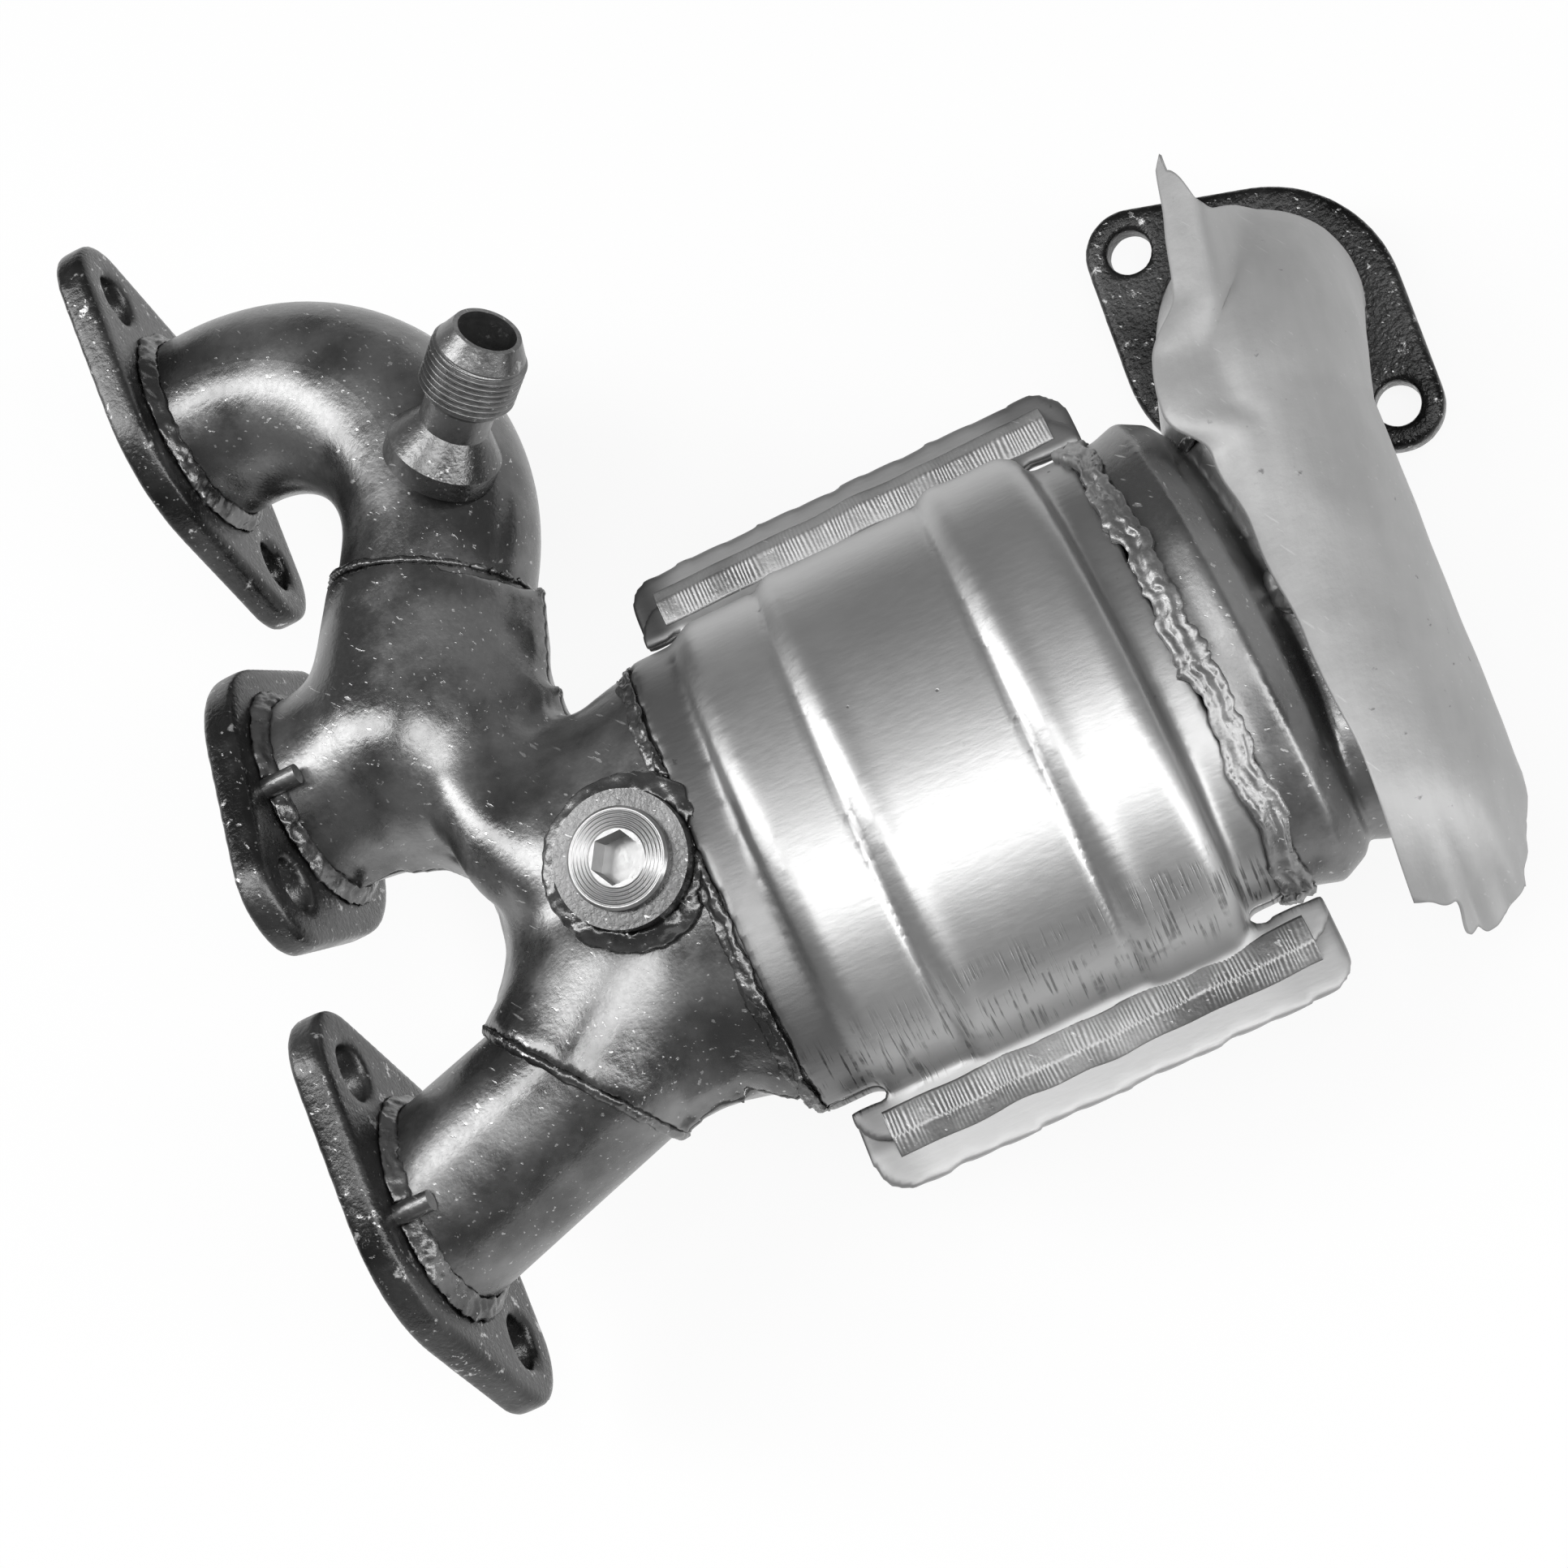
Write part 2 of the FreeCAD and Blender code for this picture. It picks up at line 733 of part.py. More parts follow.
def egr_fitting():
    """Turned fitting: the foot is shaped to the bend, the shank enters the tube."""
    neck_end = egr_seat + egr_neck_height
    thread_end = neck_end + egr_thread_length
    nose_end = thread_end + egr_nose_length
    neck_radius = egr_neck_diameter / 2
    thread_radius = egr_thread_diameter / 2
    relief = (egr_thread_diameter - egr_neck_diameter) / 2
    place = looking_along(egr_origin, egr_axis)
    turned = [
        (0, egr_root),
        (neck_radius, egr_root),
        (neck_radius, neck_end - relief),
        (thread_radius, neck_end),
        (thread_radius, thread_end),
        (egr_nose_diameter / 2, nose_end),
        (0, nose_end),
    ]
    foot = [
        (0, egr_root),
        (egr_foot_diameter / 2, egr_root),
        (egr_foot_diameter / 2, egr_seat + 1),
        (neck_radius, egr_seat + egr_foot_height),
        (0, egr_seat + egr_foot_height),
    ]
    foot_solid = revolved(foot, place).cut(route_1.solid(runner_radius))
    bore = rod(egr_bore_diameter / 2, egr_origin, egr_axis, nose_end + 1)
    return fused([revolved(turned, place), foot_solid]).cut(bore)


# --- Outlet -----------------------------------------------------------------------------------------

hood_start = outlet_end + hood_joint_gap
outlet_direction = Rotation(Z_AXIS, 90 - outlet_yaw).multVec(X_AXIS)
outlet_axis_point = Vector(outlet_axis_x, outlet_axis_y, outlet_axis_z)
blind_centre = outlet_axis_point - outlet_direction * hood_blind_length
hood_tube_end = outlet_axis_point + outlet_direction * hood_tube_length

pipe_route = Route(hood_tube_end, outlet_direction)
pipe_route.bend(outlet_side_radius, outlet_side_turn, Z_AXIS * -1)
pipe_bend_start = pipe_route.end
bend_direction = pipe_route.direction
bend_axis = Z_AXIS.cross(bend_direction)
pipe_route.bend(outlet_bend_radius, outlet_bend_turn, bend_axis)
pipe_route.straight(outlet_tail)
outlet_face = pipe_route.end
outlet_normal = pipe_route.direction
pipe_route.straight(outlet_socket_depth)


def hood_form(inset, overrun):
    """Hood as one solid, drawn in by inset, with both mouths extended by overrun."""
    half_width = neck_width / 2
    half_height = neck_height / 2
    middle = Vector(hood_start - overrun, 0, 0)
    stations = [
        (hood_start - overrun, half_width, half_height),
        (hood_start + hood_crown_at / 3, half_width, half_height),
        (hood_start + hood_crown_at, half_width + hood_crown, half_height + hood_crown),
        (
            hood_start + hood_brow_at,
            half_width - hood_brow_fall_sideways,
            half_height - hood_brow_fall_upright,
        ),
        (
            hood_start + hood_fall_at,
            half_width - hood_fall_sideways,
            half_height - hood_fall_upright,
        ),
        (hood_start + hood_length, hood_end_width / 2, hood_end_height / 2),
    ]
    wires = [
        ellipse_wire(Vector(station, 0, 0), wide - inset, high - inset, Rotation())
        for station, wide, high in stations
    ]
    bowl = in_converter(Part.makeLoft(wires, True, True))
    radius = outlet_radius - inset
    length = hood_blind_length + hood_tube_length + overrun
    tube = rod(radius, blind_centre, outlet_direction, length)
    return fused([bowl, tube, Part.makeSphere(radius, blind_centre)])


hood_outside = hood_form(0, 0)


def outlet_hood():
    return hood_outside.cut(hood_form(hood_wall, 1))


def outlet_pipe():
    return pipe_route.solid(outlet_radius).cut(pipe_route.solid(outlet_radius - outlet_wall))


def outlet_flange():
    """Diamond plate with a socket for the pipe and two bolt holes."""
    plate = diamond_plate(
        outlet_flange_radius,
        outlet_ear_radius,
        outlet_bolt_spacing,
        outlet_flange_thickness,
        flange_edge_bevel,
    )
    cuts = [
        rod(outlet_radius - outlet_wall, Vector(0, 0, -1), Z_AXIS, outlet_flange_thickness + 2),
        rod(outlet_radius + slip_clearance, Vector(0, 0, -1), Z_AXIS, outlet_socket_depth + 1),
    ]
    for side in (-1, 1):
        hole_at = Vector(side * outlet_bolt_spacing / 2, 0, -1)
        cuts.append(rod(outlet_bolt_hole_diameter / 2, hole_at, Z_AXIS, outlet_flange_thickness + 2))
    for cut in cuts:
        plate = plate.cut(cut)
    upright = Rotation(bend_axis, Vector(0, 0, 0), outlet_normal, "ZXY")
    plate.Placement = Placement(outlet_face, upright * Rotation(Z_AXIS, outlet_bolt_turn))
    return plate


# --- Heat shield ------------------------------------------------------------------------------------

shield_inner = outlet_radius + shield_gap
shield_outer = shield_inner + shield_thickness


def round_tube(angle, radius, centre, along):
    """Point at this angle about a tube that runs along: 0 is away from the engine, 90 is up."""
    lean = math.radians(angle)
    across = along.cross(Z_AXIS)
    return centre + across * (radius * math.cos(lean)) + Z_AXIS * (radius * math.sin(lean))


def shield_section(start_angle, end_angle, centre, along):
    """Face of the sheet between two angles about the tube."""
    middle = (start_angle + end_angle) / 2
    edges = []
    for radius in (shield_inner, shield_outer):
        start, halfway, end = [
            round_tube(angle, radius, centre, along) for angle in (start_angle, middle, end_angle)
        ]
        edges.append(Part.Arc(start, halfway, end).toShape())
    for angle in (start_angle, end_angle):
        inner = round_tube(angle, shield_inner, centre, along)
        outer = round_tube(angle, shield_outer, centre, along)
        edges.append(Part.makeLine(inner, outer))
    return Part.Face(Part.Wire(Part.__sortEdges__(edges)))


def shield_horn():
    """Pointed tongue that runs straight on from the edge of the sheet, where the pipe bends down."""
    section = shield_section(shield_horn_angle, shield_left_angle, pipe_bend_start, bend_direction)
    tongue = section.extrude(bend_direction * shield_horn_length)
    inner = round_tube(shield_horn_angle, shield_outer, pipe_bend_start, bend_direction)
    outer = round_tube(shield_left_angle, shield_outer, pipe_bend_start, bend_direction)
    tip = outer + bend_direction * shield_horn_length
    outline = [Vector(place.x, place.y, -BEYOND) for place in (inner, tip, outer)]
    return tongue.common(Part.Face(Part.makePolygon(outline + outline[:1])).extrude(Z_AXIS * 2 * BEYOND))


def heat_shield():
    """Sheet along the hood's tube, over the pipe's bend and down past the blind end."""
    back_start = outlet_axis_point - outlet_direction * shield_back_length
    section = shield_section(shield_right_angle, shield_left_angle, back_start, outlet_direction)
    skirt = shield_section(shield_right_angle, shield_skirt_angle, back_start, outlet_direction)
    forward = Route(back_start, outlet_direction)
    forward.straight((hood_tube_end - back_start).Length)
    forward.bend(outlet_side_radius, outlet_side_turn, Z_AXIS * -1)
    forward.bend(outlet_bend_radius, shield_top_turn, bend_axis)
    backward = Route(back_start, outlet_direction * -1)
    backward.bend(shield_foot_radius, shield_foot_turn, outlet_direction.cross(Z_AXIS))
    backward.straight(shield_skirt_length)
    edge_points = [
        round_tube(shield_back_angle, shield_outer, back_start, outlet_direction),
        round_tube(shield_left_angle, shield_outer, pipe_bend_start, bend_direction),
        round_tube(180, shield_outer, pipe_bend_start, bend_direction),
        round_tube(180, shield_outer, back_start, outlet_direction),
    ]
    outline = [Vector(place.x, place.y, -BEYOND) for place in edge_points]
    trim = Part.Face(Part.makePolygon(outline + outline[:1])).extrude(Z_AXIS * 2 * BEYOND)
    cover = forward.sweep(section).cut(trim)
    return fused([cover, backward.sweep(skirt), shield_horn()])


def shield_pads():
    """Pads between the hood's tube and the sheet."""
    length = hood_blind_length + hood_tube_length
    annulus = rod(shield_inner, blind_centre, outlet_direction, length)
    annulus = annulus.cut(rod(outlet_radius, blind_centre, outlet_direction, length))
    pads = []
    for station in pad_stations:
        centre = outlet_axis_point + outlet_direction * station
        outward = round_tube(pad_angle, 1, Vector(0, 0, 0), outlet_direction)
        pad = rod(pad_diameter / 2, centre, outward, shield_outer)
        pads.append(pad.common(annulus).cut(hood_outside))
    return Part.makeCompound(pads)


def shield_tab():
    """Welded tab between the edge of the sheet and the hood."""
    station = outlet_axis_point + outlet_direction * tab_station
    edge = round_tube(shield_left_angle, shield_inner, station, outlet_direction)
    start = Vector(edge.x + tab_inset, edge.y, outlet_axis_z)
    tab = rod(tab_diameter / 2, start, Z_AXIS, shield_inner)
    below = rod(shield_inner, blind_centre, outlet_direction, hood_blind_length + hood_tube_length)
    return tab.common(below).cut(hood_outside)


# --- Small parts and welds --------------------------------------------------------------------------


def stub_pins():
    """Short pins tacked along the tubes, against the back of two head flanges."""
    pins = []
    for centre_y, tube_radius in ((0, merge_stub_radius), (-port_pitch, runner_radius)):
        reach = tube_radius + slip_clearance + stub_pin_diameter / 2
        height = math.sqrt(reach**2 - stub_pin_offset**2)
        start = Vector(flange_thickness, centre_y - stub_pin_offset, height)
        pins.append(rod(stub_pin_diameter / 2, start, X_AXIS, stub_pin_length))
    return Part.makeCompound(pins)


def flange_welds():
    """Fillet welds where the tubes enter the head flanges."""
    pins = stub_pins()
    rings = []
    for centre_y, radius, tube in (
        (port_pitch, runner_radius, route_1.solid(runner_radius)),
        (0, merge_stub_radius, merge_outside),
        (-port_pitch, runner_radius, runner_3_rod(runner_radius)),
    ):
        start = Vector(flange_thickness, centre_y, 0)
        cone = Part.makeCone(radius + weld_leg, radius, weld_leg, start, X_AXIS)
        rings.append(cone.cut(tube).cut(pins))
    return Part.makeCompound(rings)


def runner_welds():
    """Fillet welds where the runners enter the merge."""
    rings = []
    for place, direction in ((collar_1, collar_1_direction), (collar_3, collar_3_direction)):
        end_radius = merge_socket_radius - collar_weld_fall
        ring = Part.makeCone(
            merge_socket_radius, end_radius, collar_weld_length, place, direction * -1
        )
        for form in (route_1.solid(runner_radius), runner_3_rod(runner_radius), merge_outside):
            ring = ring.cut(form)
        rings.append(ring)
    return Part.makeCompound(rings)


def inlet_neck_weld():
    """Weld round the trunk, at the end of the converter's neck."""
    profile = [
        (inlet_end - neck_weld_leg, neck_height / 2 - converter_wall),
        (inlet_end, neck_height / 2),
    ]
    bead = in_converter(oval_turned(profile, neck_width / neck_height))
    return bead.cut(merge_outside).cut(boss_rod(boss_diameter / 2, 1)).cut(sensor_boss_weld())


def outlet_neck_weld():
    """Weld that bridges the gap between the converter's neck and the hood."""
    half_width = neck_width / 2
    half_height = neck_height / 2
    start = outlet_end - joint_weld_lap
    length = hood_joint_gap + 2 * joint_weld_lap
    cap = oval_rod(half_width + joint_weld_height, half_height + joint_weld_height, start, length)
    cap = cap.cut(oval_rod(half_width, half_height, start - 1, length + 2))
    root = oval_rod(half_width, half_height, outlet_end, hood_joint_gap)
    inner_width = half_width - converter_wall
    inner_height = half_height - converter_wall
    root = root.cut(oval_rod(inner_width, inner_height, start, length))
    return in_converter(fused([cap, root])).cut(hood_outside)


def outlet_pipe_welds():
    """Weld round the pipe at the hood, and the fillet weld at the outlet flange."""
    joint = Part.makeTorus(outlet_radius, joint_weld_height, hood_tube_end, outlet_direction)
    joint = joint.cut(hood_outside).cut(pipe_route.solid(outlet_radius))
    return Part.makeCompound(
        [joint, weld_ring(outlet_radius, weld_leg, outlet_face, outlet_normal * -1)]
    )


# --- Export ---------------------------------------------------------------------------------------

parts = {
    "head_flange_1": head_flange(port_pitch, stud_angle, runner_radius),
    "head_flange_2": head_flange(0, -stud_angle, merge_stub_radius),
    "head_flange_3": head_flange(-port_pitch, stud_angle, runner_radius),
    "runner_1": runner_1().cut(egr_hole()),
    "runner_3": runner_3(),
    "merge_upper_shell": merge_shell(True),
    "merge_lower_shell": merge_shell(False),
    "egr_fitting": egr_fitting(),
    "sensor_boss": sensor_boss(),
    "sensor_plug": sensor_plug(),
    "converter_upper_shell": converter_shell(True).cut(boss_rod(boss_diameter / 2 + slip_clearance, 1)),
    "converter_lower_shell": converter_shell(False),
    "ceramic_brick": ceramic_brick(),
    "support_mat": support_mat(),
    "outlet_hood": outlet_hood(),
    "outlet_pipe": outlet_pipe(),
    "outlet_flange": outlet_flange(),
    "heat_shield": heat_shield(),
    "shield_pads": shield_pads(),
    "shield_tab": shield_tab(),
    "stub_pins": stub_pins(),
    "flange_welds": flange_welds(),
    "runner_welds": runner_welds(),
    "sensor_boss_weld": sensor_boss_weld(),
    "shell_seam_welds": shell_seam_welds(),
    "inlet_neck_weld": inlet_neck_weld(),
    "outlet_neck_weld": outlet_neck_weld(),
    "outlet_pipe_welds": outlet_pipe_welds(),
}

os.makedirs("parts", exist_ok=True)
for name, shape in parts.items():
    shape.exportStep(os.path.join("parts", name + ".step"))
    print(name, len(shape.Solids), "solid(s)", round(shape.Volume / 1000, 1), "cm3", shape.isValid())
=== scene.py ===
# %% [markdown]
# An exhaust manifold with its catalytic converter, as taken off a V engine.
# The solids come ready from the CAD frame. This lesson dresses them: it evens out and softens the
# pressed and welded forms, adds the finer pieces, and gives each metal its own finish.
# All lengths in this script are in metres, so a millimetre is written as 1 * MM.

import json
import math
import random

import bpy
from mathutils import Matrix, Vector, noise


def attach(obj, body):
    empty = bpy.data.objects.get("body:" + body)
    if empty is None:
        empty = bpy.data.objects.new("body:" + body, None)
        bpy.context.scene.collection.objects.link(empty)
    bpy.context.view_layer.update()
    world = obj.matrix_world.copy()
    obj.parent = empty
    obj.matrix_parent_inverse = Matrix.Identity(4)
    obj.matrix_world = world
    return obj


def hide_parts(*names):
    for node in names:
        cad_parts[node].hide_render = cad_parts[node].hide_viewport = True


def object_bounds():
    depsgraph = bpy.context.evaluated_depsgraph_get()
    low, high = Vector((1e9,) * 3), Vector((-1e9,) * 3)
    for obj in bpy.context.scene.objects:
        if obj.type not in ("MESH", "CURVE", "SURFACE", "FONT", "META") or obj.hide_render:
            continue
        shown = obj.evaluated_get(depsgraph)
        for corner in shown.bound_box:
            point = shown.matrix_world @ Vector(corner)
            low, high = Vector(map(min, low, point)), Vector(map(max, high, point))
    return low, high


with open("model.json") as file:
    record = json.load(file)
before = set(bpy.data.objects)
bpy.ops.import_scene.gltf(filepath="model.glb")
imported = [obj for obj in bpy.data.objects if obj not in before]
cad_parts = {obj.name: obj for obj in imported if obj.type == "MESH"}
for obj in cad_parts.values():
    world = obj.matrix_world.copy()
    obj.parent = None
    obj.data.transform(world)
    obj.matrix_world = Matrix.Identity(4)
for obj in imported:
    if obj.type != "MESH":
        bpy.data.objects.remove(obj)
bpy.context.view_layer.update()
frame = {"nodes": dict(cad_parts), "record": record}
nodes = frame["nodes"]
MM = 0.001
random.seed(11)
TILT = math.radians(7)
YAW = math.radians(3)
converter_place = Vector((100, -58.5, -6)) * MM
converter_turn = Matrix.Rotation(YAW, 4, "Z") @ Matrix.Rotation(TILT, 4, "Y")
converter_frame = Matrix.Translation(converter_place) @ converter_turn
to_converter = converter_frame.inverted()

# %% [markdown]
# A finish is a material. Its pattern is easier to read as arithmetic than as a web of nodes, so a
# small class wraps a node's output and turns + - * into Math nodes. Every other node comes from one
# method that takes the node's type, its settings and what goes into its sockets.

# %% Shader arithmetic


class Level:
    """A node's output that can be used in arithmetic."""

    def __init__(self, finish, node, output):
        self.finish = finish
        self.node = node
        self.socket = node.outputs[output]

    def also(self, output):
        """Another output of the same node."""
        return Level(self.finish, self.node, output)

    def math(self, operation, first, second):
        return self.finish.node("ShaderNodeMath", {"operation": operation}, {0: first, 1: second})

    def __add__(self, other):
        return self.math("ADD", self, other)

    def __radd__(self, other):
        return self.math("ADD", other, self)

    def __sub__(self, other):
        return self.math("SUBTRACT", self, other)

    def __rsub__(self, other):
        return self.math("SUBTRACT", other, self)

    def __mul__(self, other):
        return self.math("MULTIPLY", self, other)

    def __rmul__(self, other):
        return self.math("MULTIPLY", other, self)

    def __gt__(self, other):
        return self.math("GREATER_THAN", self, other)


class Finish:
    """A material whose pattern is written as expressions."""

    def __init__(self, name, **constants):
        self.material = bpy.data.materials.new(name)
        self.material.use_nodes = True
        self.tree = self.material.node_tree
        self.shader = self.tree.nodes["Principled BSDF"]
        for socket, value in constants.items():
            self.shader.inputs[socket.replace("_", " ")].default_value = value
        self.place = self.node("ShaderNodeTexCoord", output="Object")

    def node(self, kind, settings=None, inputs=None, output=0):
        """Any node: its settings are set first, then its sockets are filled or linked."""
        node = self.tree.nodes.new(kind)
        for name, value in (settings or {}).items():
            setattr(node, name, value)
        for name, value in (inputs or {}).items():
            self.fill(node.inputs[name], value)
        return Level(self, node, output)

    def fill(self, socket, value):
        if isinstance(value, Level):
            self.tree.links.new(value.socket, socket)
        else:
            socket.default_value = value

    def noise(self, size, detail=4.0, roughness=0.55, place=None):
        """Cloudy pattern from 0 to 1 whose lumps are about this size."""
        return self.node(
            "ShaderNodeTexNoise",
            inputs={
                "Vector": place or self.place,
                "Scale": 1 / size,
                "Detail": detail,
                "Roughness": roughness,
            },
        )

    def in_converter(self):
        """Distances along the converter, sideways from its middle and up from its seam."""
        place = self.node(
            "ShaderNodeMapping",
            {"vector_type": "TEXTURE"},
            {"Vector": self.place, "Location": converter_place, "Rotation": (0, TILT, YAW)},
        )
        split = self.node("ShaderNodeSeparateXYZ", inputs={"Vector": place})
        return place, split, split.also("Y"), split.also("Z")

    def stretched(self, turn, stretch):
        """The place, turned and then pulled out so that a pattern on it becomes streaks."""
        turned = self.node("ShaderNodeMapping", inputs={"Vector": self.place, "Rotation": turn})
        return self.node("ShaderNodeMapping", inputs={"Vector": turned, "Scale": stretch})

    def ramp(self, level, start, end):
        """0 up to start, 1 from end on, and a soft step between; start may be the larger one."""
        return self.node(
            "ShaderNodeMapRange",
            {"interpolation_type": "SMOOTHSTEP"},
            {"Value": level, "From Min": start, "From Max": end},
        )

    def spots(self, spacing, radius, share):
        """Round spots of about this radius in cells of this spacing, in a share of the cells."""
        cells = self.node("ShaderNodeTexVoronoi", inputs={"Vector": self.place, "Scale": 1 / spacing})
        draw = self.node("ShaderNodeSeparateXYZ", inputs={"Vector": cells.also("Color")})
        edge = radius / spacing
        return self.ramp(cells.also("Distance"), edge, edge * 0.5) * (draw > 1 - share)

    def blend(self, mask, first, second):
        """Colour that goes from first to second where the mask goes from 0 to 1."""
        return self.node(
            "ShaderNodeMix",
            {"data_type": "RGBA"},
            {"Factor": mask, "A": first, "B": second},
            output="Result",
        )

    def grey(self, level):
        """A grey colour from a level."""
        return self.node("ShaderNodeCombineColor", inputs={"Red": level, "Green": level, "Blue": level})

    def surface(self, colour=None, roughness=None, metallic=None, height=None, depth=0.0):
        """Link what varies over the surface. Depth is how far a height of 1 stands up."""
        if height is not None:
            bump = self.node(
                "ShaderNodeBump", inputs={"Height": height, "Distance": depth}, output="Normal"
            )
            self.fill(self.shader.inputs["Normal"], bump)
        for socket, value in (
            ("Base Color", colour),
            ("Roughness", roughness),
            ("Metallic", metallic),
        ):
            if value is not None:
                self.fill(self.shader.inputs[socket], value)
        return self.material


def plain(level):
    """Opaque grey as a colour."""
    return (level, level, level, 1)


print("Level and Finish are ready")

# %% [markdown]
# Steel that has been hot is dark and glossy, with lighter clouds where the scale is thin, tiny beads
# of weld spatter and fine scratches. All the steel finishes share that pattern and differ in how
# dark, how rough and how scratched they are, so one function makes them.

# %% Heat-scaled steel


def scaled_steel(name, dark, light, shine, grain=0.15, spatter=0.04, scratch=0.5, wear=0.0):
    """Steel with clouds of scale between two greys; shine is its roughness."""
    finish = Finish(name, Metallic=0.9)
    clouds = finish.noise(26 * MM, detail=6)
    patches = finish.ramp(clouds, 0.36, 0.66)
    skin = finish.noise(1.1 * MM, detail=3)
    beads = finish.spots(5 * MM, 0.42 * MM, spatter)
    streaks = finish.stretched((0.3, 0.5, 0.9), (60, 900, 900))
    lines = finish.ramp(finish.noise(1, detail=2, place=streaks), 0.66, 0.72) * scratch
    worn = finish.ramp(finish.noise(5 * MM, detail=8, roughness=0.7), 0.60, 0.68) * wear
    marks = finish.node("ShaderNodeMath", {"operation": "MAXIMUM"}, {0: lines, 1: worn})
    marks = finish.node("ShaderNodeMath", {"operation": "MAXIMUM"}, {0: marks, 1: beads * 0.8})
    ground = finish.blend(patches, plain(dark), plain(light))
    colour = finish.blend(marks, ground, plain(0.75))
    roughness = shine + 0.16 * patches + 0.18 * (skin - 0.5) + 0.1 * marks
    height = skin * grain + beads - 0.15 * lines + 0.25 * finish.noise(4 * MM)
    return finish.surface(colour, roughness, height=height, depth=0.35 * MM)


def satin_shell(name):
    """Drawn sheet that kept its satin: faint clouds, a few stains, scores by the seam, painted shade at both ends,
    and a painted sheen and painted shade on the two seam strips.
    """
    finish = Finish(name, Metallic=0.95)
    place, along, sideways, upward = finish.in_converter()
    clouds = finish.noise(38 * MM, detail=3)
    grain_place = finish.node("ShaderNodeMapping", inputs={"Vector": place, "Scale": (260, 900, 900)})
    grain = finish.noise(1, detail=3, place=grain_place)
    score_place = finish.node("ShaderNodeMapping", inputs={"Vector": place, "Scale": (1500, 60, 60)})
    scores = finish.ramp(finish.noise(1, detail=2, place=score_place), 0.50, 0.62)
    by_seam = finish.ramp(sideways, -44 * MM, -53 * MM) * finish.ramp(sideways, -60 * MM, -57 * MM)
    # Painted sheen: the outer part of the seam strip on the -Y side is lightened, standing in for the light it
    # reflects.
    painted_sheen_strip = finish.ramp(sideways, -66 * MM, -69 * MM)
    scores = scores * finish.ramp(finish.noise(7 * MM, place=place), 0.4, 0.6) * by_seam
    # Painted shade: the shell darkens towards its inlet end and its outlet end, standing in for the shadow and dark
    # reflections there.
    painted_end_shade = 1.5 * finish.ramp(along, 8 * MM, -2 * MM) + 0.8 * finish.ramp(along, 80 * MM, 90 * MM)
    # Painted shade: the seam strip on the +Y side is darkened, standing in for the shade on it.
    painted_shade_strip = finish.ramp(sideways, 58 * MM, 60 * MM)
    stains = finish.ramp(finish.noise(3.5 * MM, detail=6, roughness=0.7), 0.66, 0.72)
    stains = stains * finish.ramp(finish.noise(30 * MM), 0.52, 0.62)
    pits = finish.spots(9 * MM, 0.5 * MM, 0.12)
    # dark gathers the real scores, stains and pits together with the painted shade at the ends and on the far seam
    # strip.
    dark = 0.75 * scores + 0.45 * stains + 0.7 * pits + 0.5 * painted_end_shade + 0.45 * painted_shade_strip
    ground = finish.blend(clouds, plain(0.38), plain(0.56))
    colour = finish.blend(dark * 0.8, ground, plain(0.06))
    colour = finish.blend(painted_sheen_strip * 0.5, colour, plain(0.5))
    roughness = 0.31 + 0.10 * clouds + 0.10 * grain + 0.16 * finish.ramp(sideways * sideways, 57 * 57e-6, 60 * 60e-6)
    height = 0.35 * grain - 0.8 * scores - 0.5 * pits
    return finish.surface(colour, roughness, height=height, depth=0.12 * MM)


def thin_sheet(name):
    """Dull sheet metal that was handled: soft clouds, smears and a few dark nicks."""
    finish = Finish(name, Metallic=0.5)
    clouds = finish.noise(22 * MM, detail=6, roughness=0.6)
    smears = finish.noise(1, detail=3, place=finish.stretched((0, 0, 0.2), (260, 50, 120)))
    nicks = finish.ramp(finish.noise(4 * MM, detail=4), 0.70, 0.76)
    scratches = finish.noise(1, detail=2, place=finish.stretched((0.2, 0.1, 1.1), (60, 1200, 900)))
    scratches = finish.ramp(scratches, 0.67, 0.73) * 0.35
    ground = finish.blend(clouds * 0.6 + smears * 0.4, plain(0.30), plain(0.50))
    colour = finish.blend(nicks * 0.7, ground, plain(0.12))
    colour = finish.blend(scratches, colour, plain(0.6))
    roughness = 0.50 + 0.12 * clouds
    return finish.surface(colour, roughness, height=clouds + 0.2 * smears, depth=0.5 * MM)


def dull_filler(name, level):
    """Ceramic or fibre, which is no metal."""
    finish = Finish(name, Roughness=0.9)
    return finish.surface(finish.blend(finish.noise(3 * MM), plain(level - 0.06), plain(level)))


metals = {
    "dark_flange": scaled_steel("dark flange", 0.035, 0.10, 0.24, grain=0.45, wear=0.8),
    "runner_steel": scaled_steel("runner steel", 0.10, 0.24, 0.22),
    "merge_steel": scaled_steel("merge steel", 0.11, 0.27, 0.22),
    "fitting_steel": scaled_steel("fitting steel", 0.10, 0.26, 0.25, grain=0.3, wear=0.5),
    "boss_steel": scaled_steel("boss steel", 0.10, 0.22, 0.28, grain=0.4, wear=0.4),
    "plug_steel": scaled_steel("plug steel", 0.30, 0.46, 0.30, grain=0.05, spatter=0.0, scratch=0.2),
    "converter_shell": satin_shell("converter shell steel"),
    "hood_steel": scaled_steel("hood steel", 0.16, 0.26, 0.27, grain=0.10, spatter=0.04),
    "pipe_steel": scaled_steel("pipe steel", 0.32, 0.46, 0.25, grain=0.1),
    "outlet_flange_steel": scaled_steel("outlet flange steel", 0.015, 0.05, 0.22, grain=0.9, wear=0.5),
    "shield_sheet": thin_sheet("shield sheet"),
    "weld_metal": scaled_steel("weld metal", 0.08, 0.22, 0.24, grain=0.4, spatter=0.06, wear=0.3),
    "brick": dull_filler("ceramic", 0.65),
    "mat": dull_filler("fibre mat", 0.5),
}
print(len(metals), "metal finishes")

